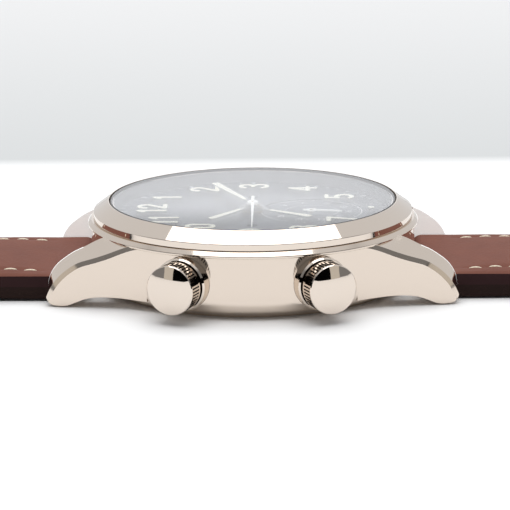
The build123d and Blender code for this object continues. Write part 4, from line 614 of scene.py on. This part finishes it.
# Calf leather, aniline dyed: brown with a fine pebble and soft mottling, and a light wax sheen.
PEBBLE = 0.35 * MM
MOTTLE = 4 * MM
CREASE = 1 * MM
calf, tree, shader, place = new_finish(
    "brown_calf_leather", {"Base Color": linear("794C3F"), "Roughness": 0.62, "Specular IOR Level": 0.12}
)
mottle = add_noise(tree, place, MOTTLE, 5)
tree.links.new(mix_colours(tree, mottle, "6E4338", "855547"), shader.inputs["Base Color"])
pebble = add_node(
    tree, "ShaderNodeTexVoronoi", {"Vector": place, "Scale": 1 / PEBBLE}, feature="SMOOTH_F1"
).outputs["Distance"]
surface = reckon(tree, "ADD", pebble, add_noise(tree, place, CREASE, 6))
add_relief(tree, shader, surface, 0.5, 0.06 * MM)
tree.links.new(vary(tree, mottle, 0.55, 0.68), shader.inputs["Roughness"])

# Edge paint: a dark brown acrylic bead along the cut sides.
edge_paint, tree, shader, place = new_finish(
    "brown_edge_paint", {"Base Color": linear("311C1D"), "Roughness": 0.5, "Specular IOR Level": 0.1}
)

# Lining: smooth, nearly black calf.
lining_calf, tree, shader, place = new_finish(
    "dark_lining_calf", {"Base Color": linear("281A17"), "Roughness": 0.6, "Specular IOR Level": 0.1}
)
pebble = add_node(tree, "ShaderNodeTexVoronoi", {"Vector": place, "Scale": 1 / PEBBLE})
add_relief(tree, shader, pebble.outputs["Distance"], 0.3, 0.04 * MM)

# Thread: waxed cream polyester, twisted.
TWIST = 0.22 * MM
thread, tree, shader, place = new_finish(
    "waxed_cream_thread", {"Base Color": linear("F2E4CC"), "Roughness": 0.55}
)
twist = add_node(
    tree, "ShaderNodeTexWave", {"Vector": place, "Scale": pi / (WAVES_PER_SCALE * TWIST)},
    bands_direction="DIAGONAL",
)
add_relief(tree, shader, twist.outputs["Fac"], 0.6, 0.05 * MM)


def ease(share):
    """0 to 1 with soft ends."""
    share = min(max(share, 0), 1)
    return share * share * (3 - 2 * share)


def between(start, end, share):
    return start + (end - start) * share


def strap_half_width(along, tip):
    """Half of the strap's width at that distance from the case's centre."""
    end = LONG_END - STRAP_END_HALF_WIDTH if tip else BUCKLE_BAR[0]
    if tip and along > end:
        return sqrt(max(STRAP_END_HALF_WIDTH ** 2 - (along - end) ** 2, 0))
    share = (along - STRAP_NARROW_FROM) / (end - STRAP_NARROW_FROM)
    return between(STRAP_HALF_WIDTH, STRAP_END_HALF_WIDTH, min(share, 1))


def strap_heights(along, tip):
    """Top, seam and bottom of the strap at that distance from the case's centre."""
    bar, bar_z = SPRING_BAR
    end = LONG_END if tip else BUCKLE_BAR[0]
    if along <= bar:
        rise = sqrt(max(SPRING_LOOP ** 2 - (bar - along) ** 2, 0))
        return bar_z + rise, bar_z - rise, bar_z - rise
    if not tip and along > end:
        rise = sqrt(max(BUCKLE_LOOP ** 2 - (along - end) ** 2, 0))
        return BUCKLE_BAR[1] + rise, BUCKLE_BAR[1] - rise, BUCKLE_BAR[1] - rise
    if along <= SHOULDER:
        share = (along - bar) / (SHOULDER - bar)
        top = between(bar_z + SPRING_LOOP, STRAP_TOP, ease(share))
        seam = between(bar_z - SPRING_LOOP, STRAP_SEAM, share)
        start = SPRING_LOOP / (SHOULDER - bar)
        start_seam = between(bar_z - SPRING_LOOP, STRAP_SEAM, start)
        return top, seam, between(start_seam, STRAP_LUG_BOTTOM, (share - start) / (1 - start))
    share = (along - SHOULDER) / (end - SHOULDER)
    top = between(STRAP_TOP, LONG_END_TOP if tip else STRAP_TOP, share)
    bottom = between(STRAP_LUG_BOTTOM, 0 if tip else SHORT_END_BOTTOM, share)
    layer_share = (STRAP_TOP - STRAP_SEAM) / (STRAP_TOP - STRAP_LUG_BOTTOM)
    seam = top - layer_share * (top - bottom)
    if not tip:
        bend = ease((along - end + 2 * BUCKLE_LOOP) / (2 * BUCKLE_LOOP))
        top = between(top, BUCKLE_BAR[1] + BUCKLE_LOOP, bend)
        seam = between(seam, BUCKLE_BAR[1] - BUCKLE_LOOP, bend)
    return top, seam, bottom


def leather_surface(x, along, tip):
    """Height of the upper's top: padded in the middle, rounded at the edge, sunk along the stitches."""
    half = strap_half_width(along, tip)
    top, seam = strap_heights(along, tip)[:2]
    share = min(abs(x) / half, 1) if half > 0 else 1
    end = LONG_END if tip else BUCKLE_BAR[0]
    fade = ease((along - SHOULDER) / PADDING_FADE) * ease((end - along) / PADDING_FADE)
    height = top + PADDING * fade * (1 - share ** 4)
    from_edge = half - abs(x)
    height -= min(EDGE_DROP, (top - seam) / 2) * max(1 - from_edge / EDGE_ROUND, 0) ** 2
    line = abs(from_edge - STITCH_INSET)
    sewn = ease((along - STITCH_FIRST + STITCH_PITCH) / STITCH_PITCH)
    pull = GROOVE_DEPTH - GROOVE_PULL * cos(2 * pi * (along - STITCH_FIRST) / STITCH_PITCH)
    if line < GROOVE_WIDTH:
        height -= pull * sewn * ease(1 - line / GROOVE_WIDTH)
    return height


def strap_rows(start, tip):
    """Distances along the strap at which its grid has a row, closer together where it curves."""
    bar = SPRING_BAR[0]
    rows = []
    if start < bar:
        rows += [bar - SPRING_LOOP * cos(pi / 2 * i / LOOP_ROWS) for i in range(LOOP_ROWS)]
        start = bar
    end = LONG_END - STRAP_END_HALF_WIDTH if tip else BUCKLE_BAR[0]
    count = round((end - start) / ROW_STEP)
    rows += [between(start, end, i / count) for i in range(count + 1)]
    if tip:
        rows += [end + STRAP_END_HALF_WIDTH * sin(pi / 2 * i / TIP_ROWS) for i in range(1, TIP_ROWS)]
        rows.append(LONG_END - TIP_FLAT)
    elif start == bar:
        rows += [end + BUCKLE_LOOP * sin(pi / 2 * i / LOOP_ROWS) for i in range(1, LOOP_ROWS + 1)]
    return rows


def strap_layer(name, side, tip, start, end, lower, upper):
    """One layer of leather: a grid extruded upwards, then laid to its outline and heights."""
    rows = [row for row in strap_rows(start, tip) if row <= end]
    shares = [-share for share in reversed(COLUMN_SHARES[1:])] + list(COLUMN_SHARES)
    deselect_all()
    bpy.ops.mesh.primitive_grid_add(x_subdivisions=len(shares) - 1, y_subdivisions=len(rows) - 1, size=1)
    layer = settle(name)
    for vertex in layer.data.vertices:
        column = round((vertex.co.x + 0.5) * (len(shares) - 1))
        row = round((vertex.co.y + 0.5) * (len(rows) - 1))
        along = rows[row]
        x = shares[column] * strap_half_width(along, tip)
        vertex.co = (x, side * along, lower(x, along))
    bpy.ops.object.mode_set(mode="EDIT")
    bpy.ops.mesh.select_all(action="SELECT")
    bpy.ops.mesh.extrude_region_move()
    bpy.ops.object.mode_set(mode="OBJECT")
    for vertex in layer.data.vertices:
        if vertex.select:
            vertex.co.z = upper(vertex.co.x, side * vertex.co.y)
    bpy.ops.object.mode_set(mode="EDIT")
    bpy.ops.mesh.select_all(action="SELECT")
    bpy.ops.mesh.remove_doubles(threshold=WELD)
    bpy.ops.mesh.normals_make_consistent(inside=False)
    bpy.ops.object.mode_set(mode="OBJECT")
    return layer


def cut(piece, cutters):
    """Cuts the joined cutters out of the piece."""
    cutter = join(cutters, "cutter")
    deselect_all()
    bpy.context.view_layer.objects.active = piece
    piece.select_set(True)
    bpy.ops.object.modifier_add(type="BOOLEAN")
    modifier = piece.modifiers[-1]
    modifier.object = cutter
    modifier.solver = "EXACT"
    bpy.ops.object.modifier_apply(modifier=modifier.name)
    bpy.data.objects.remove(cutter)


def strap_holes():
    """Cylinders where the long strap's holes are punched."""
    punches = []
    for i in range(HOLE_COUNT):
        deselect_all()
        bpy.ops.mesh.primitive_cylinder_add(
            vertices=32, radius=HOLE_RADIUS, depth=CUTTER_HEIGHT,
            location=(0, -(LONG_END - HOLE_FIRST - i * HOLE_PITCH), 0),
        )
        punches.append(settle("punch"))
    return punches


def prong_slot():
    """A block where the short strap is slotted for the prong."""
    deselect_all()
    bpy.ops.mesh.primitive_cube_add(size=1, location=(0, BUCKLE_BAR[0], 0))
    bpy.context.object.scale = (*SLOT_SIZE, CUTTER_HEIGHT)
    return [settle("slot")]


def stitch_places(side, tip):
    """Middle and direction of each stitch, down both sides and round the tip."""
    end = LONG_END - STRAP_END_HALF_WIDTH if tip else BUCKLE_BAR[0] - STITCHLESS_PITCHES * STITCH_PITCH
    count = int((end - STITCH_FIRST) / STITCH_PITCH)
    places = []
    for edge in (-1, 1):
        for i in range(count + 1):
            along = STITCH_FIRST + i * STITCH_PITCH
            slope = (STRAP_HALF_WIDTH - STRAP_END_HALF_WIDTH) / (end - STRAP_NARROW_FROM)
            x = edge * (strap_half_width(along, tip) - STITCH_INSET)
            places.append((x, along, edge * slope))
    if tip:
        radius = STRAP_END_HALF_WIDTH - STITCH_INSET
        arc_count = int(pi * radius / STITCH_PITCH)
        for i in range(arc_count):
            angle = pi * (i + 0.5) / arc_count
            places.append((radius * cos(angle), end + radius * sin(angle), angle))
    return places


# One stitch: a short fat loop of thread that dives into the leather at both ends.
deselect_all()
bpy.ops.mesh.primitive_uv_sphere_add(segments=8, ring_count=6, radius=0.5, rotation=(pi / 2, 0, 0))
stitch = settle("stitch")
for vertex in stitch.data.vertices:
    along_share = 2 * vertex.co.y
    vertex.co.y = STITCH_LENGTH * vertex.co.y
    vertex.co.x *= STITCH_WIDTH
    vertex.co.z = STITCH_WIDTH * (STITCH_FLATNESS * vertex.co.z - STITCH_DIVE * along_share ** 2)
bpy.ops.object.shade_smooth()

# Both strap pieces: the short one with the buckle, the long one with the tip. Faces steeper than
# this share of upright are painted as edges.
EDGE_TILT = 0.35
for body, side, tip in (("short_strap", 1, False), ("long_strap", -1, True)):
    start = SPRING_BAR[0] - SPRING_LOOP
    end = LONG_END if tip else BUCKLE_BAR[0] + BUCKLE_LOOP
    upper = strap_layer(
        f"{body}_leather", side, tip, start, end,
        lambda x, along: strap_heights(along, tip)[1],
        lambda x, along: leather_surface(x, along, tip),
    )
    lining_start = SPRING_BAR[0] + SPRING_LOOP
    lining_end = LONG_END if tip else BUCKLE_BAR[0] - BUCKLE_LOOP
    lining = strap_layer(
        f"{body}_lining_leather", side, tip, lining_start, lining_end,
        lambda x, along: strap_heights(along, tip)[2],
        lambda x, along: strap_heights(along, tip)[1],
    )
    for layer in (upper, lining):
        cut(layer, strap_holes() if tip else prong_slot())
    upper.data.materials.append(calf)
    upper.data.materials.append(edge_paint)
    lining.data.materials.append(lining_calf)
    for face in upper.data.polygons:
        face.material_index = int(face.normal.z < EDGE_TILT)
    for layer, node in ((upper, f"{body}_upper"), (lining, f"{body}_lining")):
        deselect_all()
        layer.select_set(True)
        bpy.context.view_layer.objects.active = layer
        bpy.ops.object.shade_smooth_by_angle(angle=SOFT_ANGLE)
        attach(layer, body)
        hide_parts(node)
    sewn = []
    for x, along, angle in stitch_places(side, tip):
        loop = stitch.copy()
        loop.data = stitch.data.copy()
        z = leather_surface(x, along, tip) + STITCH_LIFT * STITCH_WIDTH
        turn = Matrix.Rotation(side * angle, 4, "Z")
        loop.data.transform(Matrix.Translation((x, side * along, z)) @ turn)
        bpy.context.collection.objects.link(loop)
        sewn.append(loop)
    stitches = join(sewn, f"{body}_stitches")
    stitches.data.materials.append(thread)
    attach(stitches, body)
bpy.data.objects.remove(stitch)

# Keepers: bands of the same leather, folded round the strap, edge painted, their ends glued below.
KEEPER_WALL = 0.7 * MM
KEEPER_CORNER = 1.0 * MM
KEEPER_EDGE = 0.22 * MM
KEEPER_SIDE_TILT = 0.7
for name, body in (("fixed_keeper", "short_strap"), ("free_keeper", "free_keeper")):
    low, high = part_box(name)
    deselect_all()
    bpy.ops.mesh.primitive_cube_add(size=1, location=(low + high) / 2)
    bpy.context.object.scale = high - low
    keeper = settle(f"{name}_leather")
    bpy.ops.object.mode_set(mode="EDIT")
    bpy.ops.mesh.select_mode(type="FACE")
    bpy.ops.mesh.select_all(action="DESELECT")
    bpy.ops.object.mode_set(mode="OBJECT")
    for face in keeper.data.polygons:
        face.select = abs(face.normal.y) > 0.5
    bpy.ops.object.mode_set(mode="EDIT")
    bpy.ops.mesh.delete(type="FACE")
    bpy.ops.object.mode_set(mode="OBJECT")
    for edge in keeper.data.edges:
        ends = [keeper.data.vertices[i].co for i in edge.vertices]
        edge.select = abs(ends[0].y - ends[1].y) > KEEPER_WALL
    bpy.ops.object.mode_set(mode="EDIT")
    bpy.ops.mesh.select_mode(type="EDGE")
    bpy.ops.mesh.bevel(offset=KEEPER_CORNER, segments=6)
    bpy.ops.mesh.select_all(action="SELECT")
    bpy.ops.mesh.normals_make_consistent(inside=False)
    bpy.ops.object.mode_set(mode="OBJECT")
    bpy.ops.object.modifier_add(type="SOLIDIFY")
    keeper.modifiers[-1].thickness = KEEPER_WALL
    keeper.modifiers[-1].offset = -1
    bpy.ops.object.modifier_apply(modifier=keeper.modifiers[-1].name)
    bpy.ops.object.modifier_add(type="BEVEL")
    keeper.modifiers[-1].width = KEEPER_EDGE
    keeper.modifiers[-1].segments = 3
    bpy.ops.object.modifier_apply(modifier=keeper.modifiers[-1].name)
    bpy.ops.object.shade_smooth_by_angle(angle=SOFT_ANGLE)
    keeper.data.materials.append(calf)
    keeper.data.materials.append(edge_paint)
    for face in keeper.data.polygons:
        face.material_index = int(abs(face.normal.y) > KEEPER_SIDE_TILT)
    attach(keeper, body)
    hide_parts(name)

# Studio: a white table that turns pale grey beyond the watch, a wide softbox overhead and cards
# round the watch for its reflections.
TABLE_SIZE = 6
TABLE_DROP = 0.01 * MM
GREY_FROM = 70.5 * MM
GREY_TO = 77 * MM
PALE_TO = 270 * MM
sweep, tree, shader, place = new_finish(
    "studio_paper", {"Base Color": linear("FAFAFA"), "Roughness": 0.9, "Specular IOR Level": 0}
)
apart = add_node(tree, "ShaderNodeSeparateXYZ", {"Vector": place})
reach = add_node(
    tree, "ShaderNodeMapRange", {"Value": apart.outputs["X"], "From Min": GREY_FROM, "From Max": GREY_TO}
)
far_reach = add_node(
    tree, "ShaderNodeMapRange", {"Value": apart.outputs["X"], "From Min": GREY_TO, "From Max": PALE_TO}
)
surround = mix_colours(tree, far_reach.outputs["Result"], "D0D2D2", "E9E9E9")
paper = add_node(
    tree, "ShaderNodeMix", {"Factor": reach.outputs["Result"], "A": linear("FAFAFA"), "B": surround},
    data_type="RGBA",
)
tree.links.new(paper.outputs["Result"], shader.inputs["Base Color"])
deselect_all()
bpy.ops.mesh.primitive_plane_add(size=TABLE_SIZE, location=(0, 0, -TABLE_DROP))
studio_table = settle("studio_table")
studio_table.data.materials.append(sweep)


def softbox(name, place, target, width, height, radiance):
    """A rectangular lamp with a diffuser, aimed at the target, given by what it radiates."""
    lamp = bpy.data.lights.new(name, "AREA")
    lamp.shape = "RECTANGLE"
    lamp.size = width
    lamp.size_y = height
    lamp.energy = radiance * pi * width * height
    holder = bpy.data.objects.new(name, lamp)
    bpy.context.collection.objects.link(holder)
    holder.location = place
    holder.rotation_euler = (Vector(target) - Vector(place)).to_track_quat("-Z", "Y").to_euler()
    holder.visible_camera = False


TOP_HEIGHT = 0.6
TOP_NEAR = -0.31
TOP_FAR = 0.43
TOP_REACH = 0.32
TOP_RADIANCE = 1.8
top_middle = (TOP_NEAR + TOP_FAR) / 2
softbox(
    "top_softbox", (top_middle, 0, TOP_HEIGHT), (top_middle, 0, 0), TOP_FAR - TOP_NEAR, 2 * TOP_REACH,
    TOP_RADIANCE,
)


def card(name, centre, size, material):
    """An upright card across the watch, seen by reflections only."""
    deselect_all()
    bpy.ops.mesh.primitive_plane_add(size=1, location=centre, rotation=(pi / 2, 0, pi / 2))
    bpy.context.object.scale = (*size, 1)
    board = settle(name)
    board.data.materials.append(material)
    board.visible_camera = False
    board.visible_diffuse = False
    board.visible_shadow = False


# A lit card low behind the watch, brighter towards its foot, gives the crystal its haze.
BACK_PLACE = (0.9, 0, 0.25)
BACK_SIZE = (0.4, 0.5)
GLOW_FOOT = 0.214
GLOW_HEAD = 0.2275
GLOW_STRENGTHS = (1.2, 0.68)
glow, tree, shader, place = new_finish(
    "lit_card", {"Base Color": linear("000000"), "Specular IOR Level": 0, "Emission Color": linear("FBFCFF")}
)
apart = add_node(tree, "ShaderNodeSeparateXYZ", {"Vector": place})
climb = add_node(
    tree, "ShaderNodeMapRange", {
        "Value": apart.outputs["Z"], "From Min": GLOW_FOOT, "From Max": GLOW_HEAD,
        "To Min": GLOW_STRENGTHS[0], "To Max": GLOW_STRENGTHS[1],
    },
    interpolation_type="SMOOTHSTEP",
)
tree.links.new(climb.outputs["Result"], shader.inputs["Emission Strength"])
card("back_card", BACK_PLACE, BACK_SIZE, glow)

# Black flags on both sides of the camera, and a paler card beyond each, show in the pushers' faces.
CARD_DISTANCE = 0.3
CARD_TOP = 0.1
FLAG_EDGES = (0.105, 0.262)
PALE_EDGE = 0.4
flag_black, tree, shader, place = new_finish(
    "black_flag", {"Base Color": linear("060606"), "Specular IOR Level": 0, "Roughness": 1}
)
pale_card, tree, shader, place = new_finish(
    "pale_card", {
        "Base Color": linear("000000"), "Specular IOR Level": 0,
        "Emission Color": linear("FFFAF0"), "Emission Strength": 0.66,
    }
)
for side in (-1, 1):
    for name, near, far, finish in (
        ("black_flag", FLAG_EDGES[0], FLAG_EDGES[1], flag_black),
        ("pale_card", FLAG_EDGES[1], PALE_EDGE, pale_card),
    ):
        middle = (-CARD_DISTANCE, side * (near + far) / 2, CARD_TOP / 2)
        card(f"{name}_{side}", middle, (far - near, CARD_TOP), finish)

# The room: pale overhead and behind the watch, darker low on the camera's side. Each pair gives
# where the pale part starts and where it is full, as a share of a direction's length.
BEHIND_RANGE = (-0.3, 0.3)
ABOVE_RANGE = (0.55, 0.8)
ROOM_STRENGTHS = (0.26, 0.85)
world = bpy.data.worlds.new("studio_room")
world.use_nodes = True
tree = world.node_tree
direction = add_node(
    tree, "ShaderNodeSeparateXYZ", {"Vector": add_node(tree, "ShaderNodeTexCoord").outputs["Generated"]}
)
behind, above = [
    add_node(
        tree, "ShaderNodeMapRange", {"Value": direction.outputs[way], "From Min": start, "From Max": full},
        interpolation_type="SMOOTHSTEP",
    ).outputs["Result"]
    for way, (start, full) in (("X", BEHIND_RANGE), ("Z", ABOVE_RANGE))
]
background = tree.nodes["Background"]
background.inputs["Color"].default_value = linear("F4F5F7")
pale = reckon(tree, "MAXIMUM", behind, above)
tree.links.new(vary(tree, pale, *ROOM_STRENGTHS), background.inputs["Strength"])
bpy.context.scene.world = world
bpy.context.scene.view_settings.view_transform = "Standard"

# Camera: a long lens, low on the 9 o'clock side, with 12 o'clock to the left of the picture.
CAMERA_PLACE = (-323.351 * MM, -3.697 * MM, 83.089 * MM)
CAMERA_RIGHT = Vector((0.00850, -0.99992, -0.00906))
CAMERA_UP = Vector((0.23984, -0.00676, 0.97079))
LENS_MM = 183.54
SENSOR_MM = 36
lens = bpy.data.cameras.new("camera")
lens.lens = LENS_MM
lens.sensor_width = SENSOR_MM
lens.clip_start = MM
camera = bpy.data.objects.new("camera", lens)
bpy.context.collection.objects.link(camera)
turn = Matrix((CAMERA_RIGHT, CAMERA_UP, CAMERA_RIGHT.cross(CAMERA_UP))).transposed()
camera.matrix_world = Matrix.Translation(CAMERA_PLACE) @ turn.to_4x4()
bpy.context.scene.camera = camera
